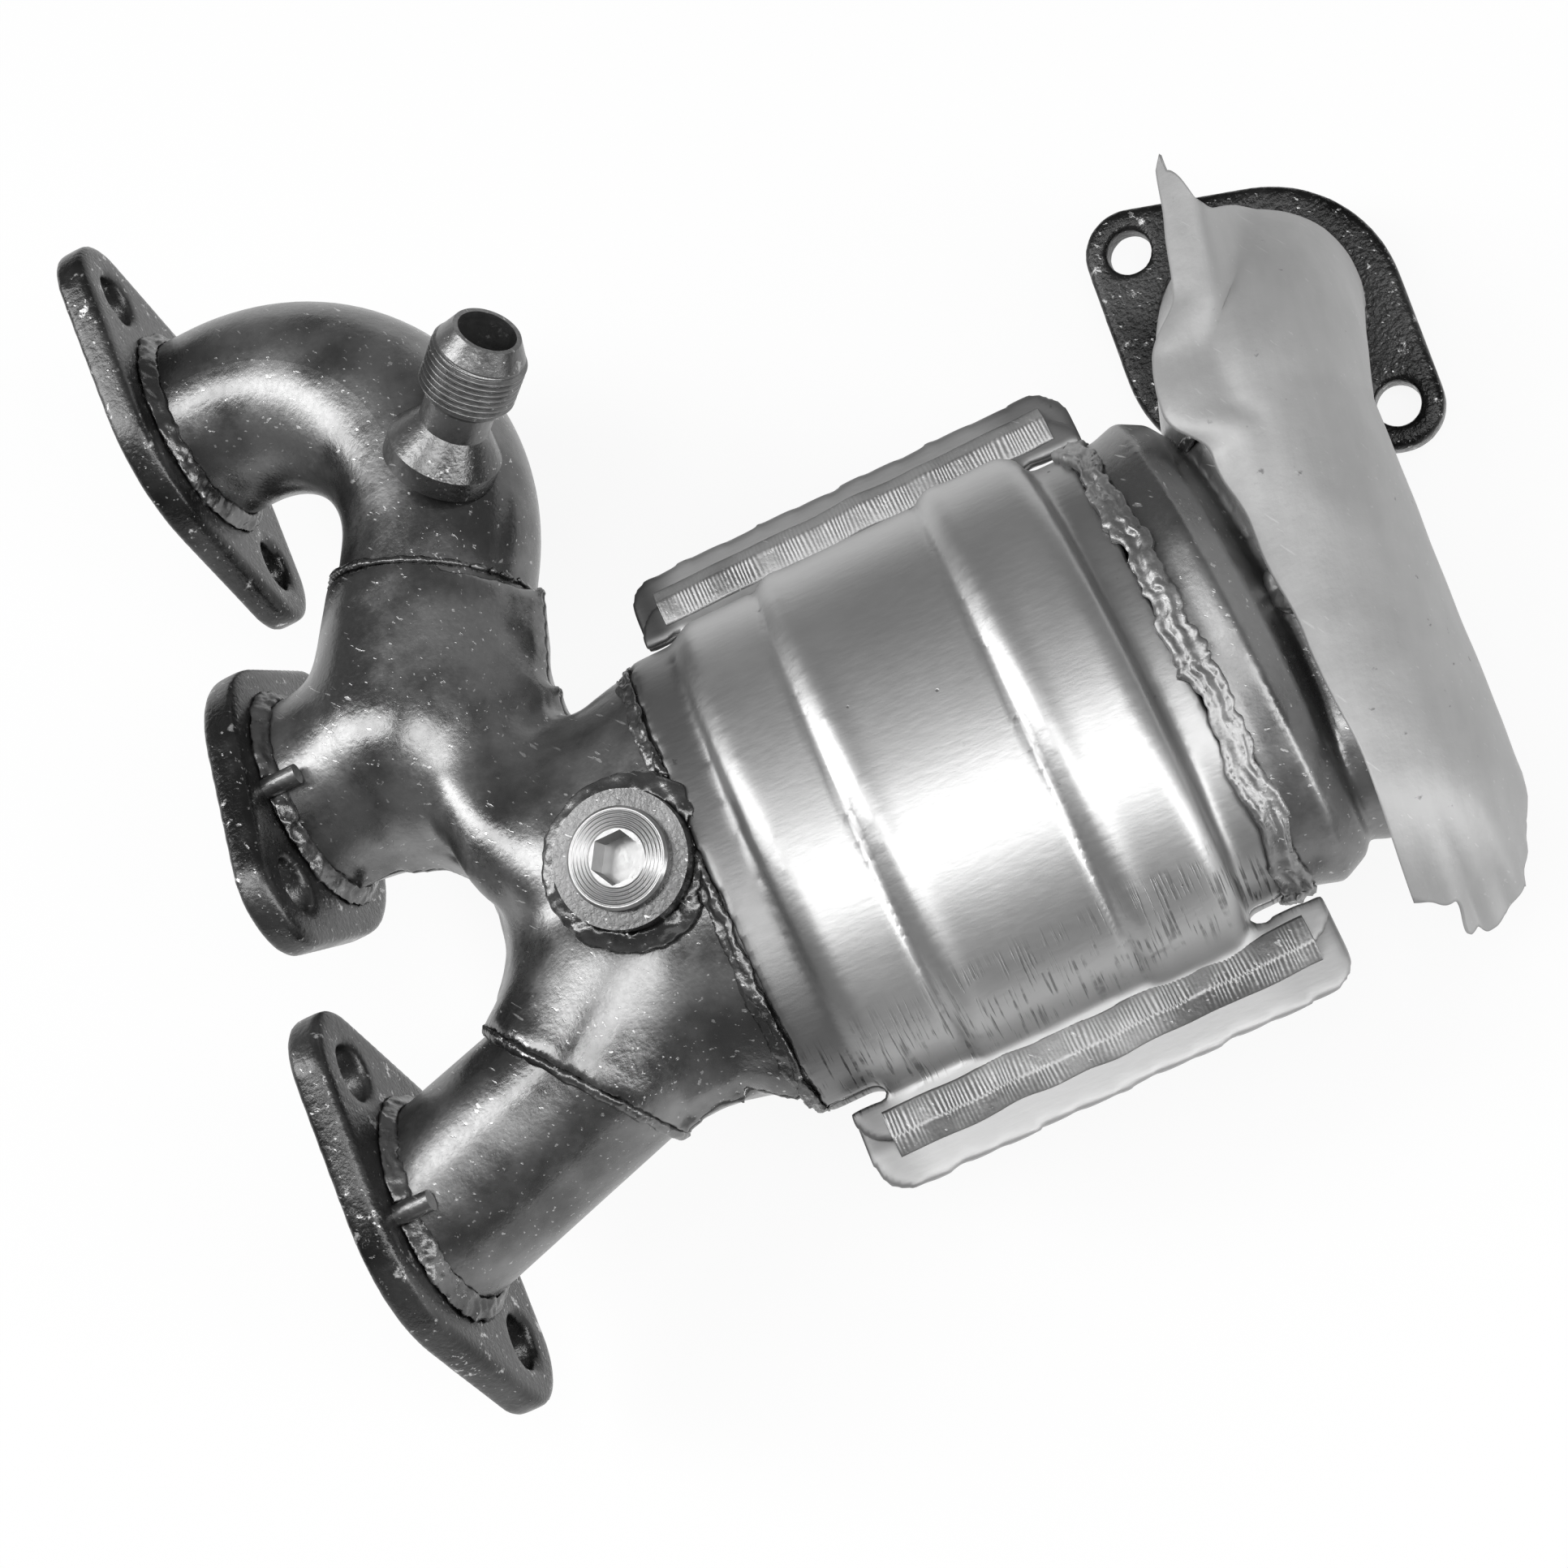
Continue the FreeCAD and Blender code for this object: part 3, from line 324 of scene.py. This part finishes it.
# %% [markdown]
# Every CAD node gets the finish of its own part. The record already says which slot each node takes,
# so the finishes are looked up there.

# %% Dress the CAD nodes
slots = {part["node"]: part["material_slot"] for part in frame["record"]["subparts"]}
bright_weld = scaled_steel("bright weld metal", 0.24, 0.42, 0.38, grain=0.3, spatter=0.05, wear=0.3)


def dress(piece, slot):
    """Give a piece the finish of this slot."""
    piece.data.materials.clear()
    piece.data.materials.append(metals[slot])


for name, node in nodes.items():
    dress(node, slots[name])
print("dressed", len(slots), "nodes")

# %% [markdown]
# Pressed and welded steel has no sharp edges. A copy of the solid is merged, rebuilt as an even net
# of small squares, and then smoothed with the operator a modeller would use, only as strongly as the
# real metal is rounded. The net is finer than the wall is thick, so the wall stays.

# %% Softening


def select_none():
    bpy.ops.object.select_all(action="DESELECT")


def only(piece):
    """Make this piece the one that operators act on."""
    select_none()
    piece.select_set(True)
    bpy.context.view_layer.objects.active = piece


def apply_modifier(piece, kind, **settings):
    """Add a modifier with these settings and apply it."""
    only(piece)
    modifier = piece.modifiers.new(kind.title(), kind)
    for name, value in settings.items():
        setattr(modifier, name, value)
    bpy.ops.object.modifier_apply(modifier=modifier.name)


def merged_copy(node_name, piece_name):
    """Own copy of a CAD node with its loose triangles joined."""
    mesh = nodes[node_name].data.copy()
    piece = bpy.data.objects.new(piece_name, mesh)
    bpy.context.scene.collection.objects.link(piece)
    only(piece)
    bpy.ops.object.mode_set(mode="EDIT")
    bpy.ops.mesh.select_all(action="SELECT")
    bpy.ops.mesh.remove_doubles(threshold=0.002 * MM)
    bpy.ops.object.mode_set(mode="OBJECT")
    return piece


def smooth_where(piece, chosen, passes, factor=0.5):
    """Smooth the vertices whose place passes the test."""
    only(piece)
    bpy.ops.object.mode_set(mode="EDIT")
    bpy.ops.mesh.select_mode(type="VERT")
    bpy.ops.mesh.select_all(action="DESELECT")
    bpy.ops.object.mode_set(mode="OBJECT")
    for vertex in piece.data.vertices:
        vertex.select = chosen(vertex.co)
    bpy.ops.object.mode_set(mode="EDIT")
    bpy.ops.mesh.vertices_smooth(factor=factor, repeat=passes)
    bpy.ops.object.mode_set(mode="OBJECT")


def anywhere(place):
    return True


def belongs_to(piece, node_name, instead=True):
    """Dress a piece like this node; unless it only adds to the node, it takes the node's place."""
    dress(piece, slots[node_name])
    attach(piece, "root")
    if instead:
        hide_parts(node_name)


def soften(node_name, piece_name, net, passes, filler=None):
    """Evenly netted, softened copy of a node, which takes the node's place."""
    piece = merged_copy(node_name, piece_name)
    if filler:
        filler.select_set(True)
        bpy.ops.object.join()
    apply_modifier(piece, "REMESH", mode="VOXEL", voxel_size=net, use_smooth_shade=True)
    smooth_where(piece, anywhere, passes)
    bpy.ops.object.shade_smooth()
    belongs_to(piece, node_name)
    return piece


def ease(start, end, level):
    """0 at start, 1 at end, with a soft step between them."""
    share = min(1, max(0, (level - start) / (end - start)))
    return share * share * (3 - 2 * share)


def curve(pairs, at):
    """Value at a place of a curve through (place, value) pairs."""
    for (left, low), (right, high) in zip(pairs, pairs[1:]):
        if at < right:
            return low + (high - low) * ease(left, right, at)
    return pairs[-1][1]


def grid_sheet(name, rows, columns, where):
    """Sheet whose points are placed by where(share of the rows, share of the columns)."""
    select_none()
    bpy.ops.mesh.primitive_grid_add(x_subdivisions=columns, y_subdivisions=rows, size=1)
    sheet = bpy.context.active_object
    sheet.name = name
    for vertex in sheet.data.vertices:
        vertex.co = where(vertex.co.y + 0.5, vertex.co.x + 0.5)
    return sheet


def close_and_face_out(piece, gap=0.01 * MM):
    """Join the points that meet and turn every face outwards."""
    only(piece)
    bpy.ops.object.mode_set(mode="EDIT")
    bpy.ops.mesh.select_all(action="SELECT")
    bpy.ops.mesh.remove_doubles(threshold=gap)
    bpy.ops.mesh.normals_make_consistent(inside=False)
    bpy.ops.object.mode_set(mode="OBJECT")
    bpy.ops.object.shade_smooth()


print("softening is ready")

# %% [markdown]
# The flanges are flame-cut plates: their edges are rounded by the cut and by years of scale.

# %% Flanges
for name in ("head_flange_1", "head_flange_2", "head_flange_3", "outlet_flange"):
    plate = soften(name, name.replace("head_", "") + "_plate", 0.9 * MM, 4)
    print(plate.name, len(plate.data.polygons), "faces")

# %% [markdown]
# The merge is two pressed half shells. Where its arms run into each other the press leaves a wide
# round, so the net is smoothed many times there, but not at the mouths, where the tubes slip in, nor
# along the seam.

# %% Merge shells
def in_merge_body(place):
    """True away from the seam, the flange and the mouths of the arms."""
    if abs(place.z) < 1.2 * MM or place.x < 14 * MM:
        return False
    if place.y > 28 * MM:
        return False
    along_arm_3 = (place.x - 47.7 * MM) * 0.766 + (place.y + 87.5 * MM) * 0.643
    return along_arm_3 > 4 * MM


def fill_valleys(shell, side):
    """Raise the floors of sharp valleys to a blurred height of the surface round them."""
    cell = 1.5 * MM
    reach = 7
    tops = {}
    for vertex in shell.data.vertices:
        key = (round(vertex.co.x / cell), round(vertex.co.y / cell))
        tops[key] = max(tops.get(key, 0), side * vertex.co.z)
    near = [(i, j) for i in range(-reach, reach + 1) for j in range(-reach, reach + 1)]
    weights = {step: math.exp(-(step[0] ** 2 + step[1] ** 2) / 14) for step in near}
    blurred = {}
    for column, row in tops:
        total = share = 0
        for step, weight in weights.items():
            top = tops.get((column + step[0], row + step[1]))
            if top is not None:
                total += weight * top
                share += weight
        blurred[column, row] = total / share
    normals = [vertex.normal.copy() for vertex in shell.data.vertices]
    for vertex, normal in zip(shell.data.vertices, normals):
        place = vertex.co
        if side * normal.z < 0.15 or not in_merge_body(place):
            continue
        column, row = math.floor(place.x / cell), math.floor(place.y / cell)
        part_x, part_y = place.x / cell - column, place.y / cell - row
        corners = [blurred.get((column + i, row + j)) for i in (0, 1) for j in (0, 1)]
        top = tops.get((round(place.x / cell), round(place.y / cell)))
        if None in corners or side * place.z < top - 1.3 * MM:
            continue
        left = corners[0] + (corners[1] - corners[0]) * part_y
        right = corners[2] + (corners[3] - corners[2]) * part_y
        height = left + (right - left) * part_x
        vertex.co.z = side * max(side * place.z, height)


for half, side in (("upper", 1), ("lower", -1)):
    select_none()
    bpy.ops.mesh.primitive_uv_sphere_add(
        segments=32, ring_count=16, radius=1, location=Vector((45.2, -31.5, side * 12)) * MM
    )
    saddle = bpy.context.active_object
    saddle.rotation_euler = (0, 0, math.radians(6))
    saddle.scale = Vector((6.2, 18.5, 7)) * MM
    bpy.ops.object.transform_apply(location=True, rotation=True, scale=True)
    shell_name = "merge_" + half + "_shell"
    shell = soften(shell_name, "merge_" + half + "_pressing", 1.0 * MM, 2, filler=saddle)
    smooth_where(shell, in_merge_body, 30)
    fill_valleys(shell, side)
    smooth_where(shell, in_merge_body, 25)
    print(shell.name, len(shell.data.polygons), "faces")

# %% [markdown]
# The converter's shells were drawn over ribbed tools. At each step of the body the tool left a narrow
# crease with a raised lip behind it. Both fade out before the seam.

# %% Converter shells and hood


def press_creases(shell):
    """Press the creases in, and raise their lips, along the vertex normals."""
    normals = [vertex.normal.copy() for vertex in shell.data.vertices]
    for vertex, normal in zip(shell.data.vertices, normals):
        along, sideways, upward = (to_converter @ vertex.co) / MM
        if abs(sideways) > 57.5:
            continue
        fade = ease(5, 12, abs(upward))
        shift = 0
        for step in (22, 61):
            shift -= 0.65 * math.exp(-(((along - step + 0.8) / 0.85) ** 2))
            shift += 0.45 * math.exp(-(((along - step - 3.8) / 3.0) ** 2))
        vertex.co += normal * shift * fade * MM


for name, piece_name in (
    ("converter_upper_shell", "converter_upper_pressing"),
    ("converter_lower_shell", "converter_lower_pressing"),
    ("outlet_hood", "hood_pressing"),
):
    shell = soften(name, piece_name, 1.05 * MM if "converter" in name else 0.8 * MM, 5)
    if "converter" in name:
        press_creases(shell)
    print(shell.name, len(shell.data.polygons), "faces")

# %% [markdown]
# A weld bead is a row of frozen ripples. The plain fillets of the CAD model are netted finely, and
# each vertex is moved along its normal by a noise, coarse for the ripples and fine for the grain.

# %% Weld beads


def roughen(piece, size, depth, swell=0.0):
    """Move every vertex along its normal by a noise of this size and depth, and by the swell."""
    normals = [vertex.normal.copy() for vertex in piece.data.vertices]
    for vertex, normal in zip(piece.data.vertices, normals):
        lump = noise.noise(vertex.co / size) + 0.5 * noise.noise(vertex.co * 2.3 / size)
        vertex.co += normal * (swell + lump * depth)


def fold_round(piece, length, depth, drift):
    """Give a bead that runs round the converter long ragged folds, and let its edges wander."""
    normals = [vertex.normal.copy() for vertex in piece.data.vertices]
    for vertex, normal in zip(piece.data.vertices, normals):
        along, sideways, upward = (to_converter @ vertex.co) / MM
        turn = math.atan2(upward, sideways) * 45
        fold = noise.noise(Vector((along / 1.3, turn / length, upward * 0.02)))
        ragged = abs(noise.noise(Vector((along / 0.8, turn / (0.4 * length), 7))))
        wander = noise.noise(Vector((turn / 9, 3, 5))) + 0.5 * noise.noise(Vector((turn / 2.5, 1, 9)))
        vertex.co += normal * (fold + 0.8 * ragged) * depth * MM
        vertex.co += converter_turn.to_3x3() @ Vector((wander * drift * MM, 0, 0))


for name, size, depth, swell in (
    ("flange_welds", 3.4, 0.7, 0.0),
    ("runner_welds", 4.5, 0.6, 0.5),
    ("sensor_boss_weld", 5.0, 1.0, 0.0),
    ("outlet_pipe_welds", 2.6, 0.7, 0.0),
    ("shield_tab", 4.0, 0.7, 0.6),
):
    bead = soften(name, name.replace("weld", "bead").replace("tab", "tab_lump"), 0.6 * MM, 3)
    roughen(bead, size * MM, depth * MM, swell * MM)
    if name == "shield_tab":
        bead.data.materials[0] = bright_weld
    print(bead.name, len(bead.data.polygons), "faces")
for name, length, depth, drift in (("inlet_neck_weld", 5, 0.9, 0.5), ("outlet_neck_weld", 12, 1.3, 1.6)):
    bead = soften(name, name.replace("weld", "bead"), 0.6 * MM, 3)
    fold_round(bead, length, depth, drift)
    if name == "outlet_neck_weld":
        bead.data.materials[0] = bright_weld
    print(bead.name, len(bead.data.polygons), "faces")

# %% [markdown]
# Along each side of the converter a flat weld joins the upper strip to the lower one. It was laid in
# short strokes, which stand across it as fine ribs.

# %% Ribbed seam welds
SEAM_START, SEAM_END = 0.5, 95.0


def seam_place(side):
    """Function that places the ribbed weld of one side."""
    profile = ((0, 60.5), (0.5, 66.6), (1, 70.4))

    def where(along, across):
        station = SEAM_START + (SEAM_END - SEAM_START) * along
        wander = noise.noise(Vector((station / 11, side * 4, 2)))
        sideways = curve(profile, across) + 0.8 * wander * (across if across > 0.5 else 1 - across)
        upward = 2.02 - 2.1 * ease(0.5, 1, across) + 0.7 * math.sin(math.pi * across)
        fade = math.sin(math.pi * across) ** 0.7
        phase = station / 0.9 + 0.9 * noise.noise(Vector((station / 4, across, side)))
        strength = 0.6 + 1.2 * noise.noise(Vector((station / 6, across * 2, side * 9)))
        upward += 0.11 * math.sin(2 * math.pi * phase) * strength * fade
        upward += 0.25 * noise.noise(Vector((station / 5, across * 2, side * 3))) * fade
        return converter_frame @ (Vector((station, side * sideways, upward)) * MM)

    return where


seams = []
for side in (-1, 1):
    seams.append(grid_sheet("seam_side", 700, 10, seam_place(side)))
    apply_modifier(seams[-1], "SOLIDIFY", thickness=0.5 * MM, offset=side)
select_none()
for seam in seams:
    seam.select_set(True)
bpy.context.view_layer.objects.active = seams[0]
bpy.ops.object.join()
seam_beads = seams[0]
seam_beads.name = "shell_seam_beads"
close_and_face_out(seam_beads)
belongs_to(seam_beads, "shell_seam_welds")
seam_beads.data.materials[0] = bright_weld
print(seam_beads.name, len(seam_beads.data.polygons), "faces")

# %% [markdown]
# The gas return fitting carries a screw thread, and the plug's head was faced on a lathe, which left
# rings. The thread is a strip wound round the fitting, whose height follows a true screw line.

# %% Thread and turned rings
THREAD_PITCH = 1.5
THREAD_TURNS = 8
fitting_axis = Vector((0.71777, 0.23322, 0.65606))
thread_middle = Vector((86.2, 58.5, 35.4)) * MM
fitting_turn = fitting_axis.to_track_quat("Z", "Y").to_matrix().to_4x4()
fitting_frame = Matrix.Translation(thread_middle) @ fitting_turn


def thread_place(along, across):
    """Point of the thread: along the fitting, and once round it."""
    height = (along - 0.5) * THREAD_PITCH * THREAD_TURNS
    phase = height / THREAD_PITCH - across
    crest = 1 - 2 * abs(phase - math.floor(phase) - 0.5)
    fade = ease(0, 0.08, along) * ease(1, 0.92, along)
    radius = 9.9 + 0.95 * min(1, crest * 1.25) * fade
    turn = 2 * math.pi * across
    return fitting_frame @ (Vector((radius * math.cos(turn), radius * math.sin(turn), height)) * MM)


thread = grid_sheet("fitting_thread", 128, 96, thread_place)
apply_modifier(thread, "SOLIDIFY", thickness=0.4 * MM, offset=-1)
close_and_face_out(thread)
belongs_to(thread, "egr_fitting", instead=False)
print(thread.name, len(thread.data.polygons), "faces")

plug_axis = Vector((0, -0.13917, 0.99027))
plug_top = Vector((79.8, -58.5, 33)) * MM + plug_axis * 2.2 * MM
plug_frame = Matrix.Translation(plug_top) @ plug_axis.to_track_quat("Z", "Y").to_matrix().to_4x4()


def ring_place(along, across):
    """Point of the faced head: rings of shallow grooves from the key socket to the rim."""
    radius = 6.1 + 4.0 * along
    groove = 0.5 + 0.5 * math.cos(2 * math.pi * (radius - 6.1) / 0.8)
    height = 0.05 + 0.22 * groove - 0.5 * ease(0.93, 1, along)
    turn = 2 * math.pi * across
    return plug_frame @ (Vector((radius * math.cos(turn), radius * math.sin(turn), height)) * MM)


rings = grid_sheet("plug_rings", 60, 96, ring_place)
apply_modifier(rings, "SOLIDIFY", thickness=0.3 * MM, offset=1)
close_and_face_out(rings)
belongs_to(rings, "sensor_plug", instead=False)
print(rings.name, len(rings.data.polygons), "faces")

# %% [markdown]
# The heat shield is one thin sheet: it follows the tube, turns down over the pipe's bend, and ends in
# a tongue that was never bent down. Its left edge is ragged, and below the blind end it is pleated.
# Its place is worked out from the distance travelled along the tube and the angle round it, which is
# 0 on the side away from the engine and 90 on top.

# %% Heat shield
SHEET_RADIUS = 24
BACK_TO_BEND = 85
tube_yaw = math.radians(4.5)
tube_ahead = Vector((math.sin(tube_yaw), math.cos(tube_yaw), 0))
up = Vector((0, 0, 1))
sheet_back = Vector((228, -60, -22)) - tube_ahead * 38


def guide(travel, bent):
    """Centre, sideways and upward directions of the tube after this travel in millimetres."""
    if travel < 0:
        turn = min(-travel / 8, math.radians(50))
        backward = tube_ahead * -math.cos(turn) - up * math.sin(turn)
        centre = sheet_back - tube_ahead * 8 * math.sin(turn) - up * 8 * (1 - math.cos(turn))
        centre += backward * max(0, -travel - 8 * math.radians(50))
        return centre, tube_ahead.cross(up), up * math.cos(turn) - tube_ahead * math.sin(turn)
    centre = sheet_back + tube_ahead * min(travel, BACK_TO_BEND)
    sideways = tube_ahead.cross(up)
    turn = min(max(travel - BACK_TO_BEND, 0) / 36, math.radians(12))
    centre += tube_ahead * 36 * math.sin(turn) + sideways * 36 * (1 - math.cos(turn))
    ahead = tube_ahead * math.cos(turn) + sideways * math.sin(turn)
    rest = max(0, travel - BACK_TO_BEND - 36 * turn)
    if not bent:
        return centre + ahead * rest, ahead.cross(up), up
    turn = rest / 35
    centre += ahead * 35 * math.sin(turn) - up * 35 * (1 - math.cos(turn))
    return centre, ahead.cross(up), up * math.cos(turn) + ahead * math.sin(turn)


LEFT_EDGE = ((-20, 101), (-7, 99), (0, 97), (30, 103), (60, 110), (78, 115), (88, 127), (100, 131), (113, 118), (130, 119), (148, 121))
RIGHT_EDGE = ((-20, 52), (-8, 24), (0, -8), (8, -12), (70, -12), (100, -9), (133, -4))
SKIRT_END = ((0, -17), (0.35, -21), (0.6, -19), (0.78, -10), (1, -7))
TONGUE_END = ((0, 131), (0.80, 131), (0.95, 143), (0.975, 147.5), (1, 144))
FLARE = ((-20, 1.5), (-4, 0), (76, 0), (88, 4.5), (101, 3.0), (114, 0.5), (148, 0))


def sheet_place(along, across):
    """Point of the sheet, from the skirt's end to the far end, and from right to left."""
    straight = ease(0.66, 0.85, across)
    start = curve(SKIRT_END, across) + 1.2 * noise.noise(Vector((across * 9, 1, 4)))
    end = 132.8 + (curve(TONGUE_END, across) - 132.8) * ease(0.7, 0.85, across)
    end += 0.9 * noise.noise(Vector((across * 14, 5, 2)))
    travel = start + (end - start) * along
    left = curve(LEFT_EDGE, travel)
    left += 1.8 * noise.noise(Vector((travel / 13, 8, 1))) * ease(-10, 10, travel)
    angle = curve(RIGHT_EDGE, travel) * (1 - across) + left * across
    dents = 0.5 * noise.noise(Vector((travel / 30, angle / 40, 3)))
    dents += 0.10 * noise.noise(Vector((travel / 9, angle / 14, 6)))
    pleats = ease(0, -14, travel) * (0.9 * math.sin(angle / 6.5) + 0.45 * math.sin(angle / 2.6 + 1))
    flare = curve(FLARE, travel) * ease(0.80, 1, across)
    kink = -1.6 * math.exp(-(((across - 0.78) / 0.06) ** 2)) * ease(70, 100, travel) * ease(128, 105, travel)
    radius = SHEET_RADIUS + dents + pleats + flare + kink
    lean = math.radians(angle)
    places = []
    for bent in (True, False):
        centre, sideways, upward = guide(travel, bent)
        places.append(centre + sideways * radius * math.cos(lean) + upward * radius * math.sin(lean))
    return places[0].lerp(places[1], straight) * MM


sheet = grid_sheet("shield_cover", 210, 80, sheet_place)
apply_modifier(sheet, "SOLIDIFY", thickness=0.9 * MM, offset=-1)
close_and_face_out(sheet)
belongs_to(sheet, "heat_shield")
print(sheet.name, len(sheet.data.polygons), "faces")

# %% [markdown]
# The part is shown as on a white table under soft boxes. The floor is white to the camera and in
# reflections, and still takes the part's shadow.

# %% Floor, light and camera
low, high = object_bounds()
bpy.ops.mesh.primitive_plane_add(size=12, location=(0.15, 0, low[2] - 0.4 * MM))
floor = bpy.context.active_object
floor.name = "floor"
paper = Finish("white paper", Roughness=0.9)
paper.surface(plain(0.8))
seen = paper.node("ShaderNodeLightPath")
directly = paper.node("ShaderNodeMath", {"operation": "MAXIMUM"}, {0: seen, 1: seen.also("Is Glossy Ray")})
directly = paper.node(
    "ShaderNodeMath", {"operation": "MAXIMUM"}, {0: directly, 1: seen.also("Is Transmission Ray")}
)
glow = paper.node("ShaderNodeEmission", inputs={"Color": plain(1), "Strength": 1.0}, output="Emission")
mixed = paper.node(
    "ShaderNodeMixShader", inputs={"Fac": directly * 0.9}, output="Shader"
)
paper.tree.links.new(paper.shader.outputs["BSDF"], mixed.node.inputs[1])
paper.tree.links.new(glow.socket, mixed.node.inputs[2])
paper.tree.links.new(mixed.socket, paper.tree.nodes["Material Output"].inputs["Surface"])
floor.data.materials.append(paper.material)

world = bpy.data.worlds.new("studio")
bpy.context.scene.world = world
world.use_nodes = True
world.node_tree.nodes["Background"].inputs["Color"].default_value = plain(0.42)
world.node_tree.nodes["Background"].inputs["Strength"].default_value = 0.55


def soft_box(name, place, aim, width, height, power):
    """Area light that faces a point."""
    light = bpy.data.lights.new(name, "AREA")
    light.shape = "RECTANGLE"
    light.size = width
    light.size_y = height
    light.energy = power
    box = bpy.data.objects.new(name, light)
    box.matrix_world = Matrix.Translation(place) @ (Vector(place) - Vector(aim)).to_track_quat("Z", "Y").to_matrix().to_4x4()
    bpy.context.scene.collection.objects.link(box)


middle = (0.12, -0.03, 0)
soft_box("left box", (-0.5, 0.25, 0.75), middle, 0.35, 1.1, 8)
soft_box("right box", (0.75, -0.55, 0.55), middle, 0.3, 0.9, 5)
soft_box("over box", (0.27, -0.28, 1.05), middle, 0.55, 0.55, 4.4)

view_right = Vector((0.88832, -0.33274, -0.31649))
view_up = Vector((0.41992, 0.86755, 0.26651))
view_back = Vector((0.18589, -0.36965, 0.91039))
lens = bpy.data.cameras.new("camera")
lens.sensor_width = 36
lens.lens = 65.2
camera = bpy.data.objects.new("camera", lens)
turn = Matrix((view_right, view_up, view_back)).transposed().to_4x4()
camera.matrix_world = Matrix.Translation((0.22264, -0.26898, 0.55000)) @ turn
bpy.context.scene.collection.objects.link(camera)
bpy.context.scene.camera = camera
bpy.context.scene.view_settings.view_transform = "Standard"
print("camera at", tuple(round(value, 3) for value in camera.location))
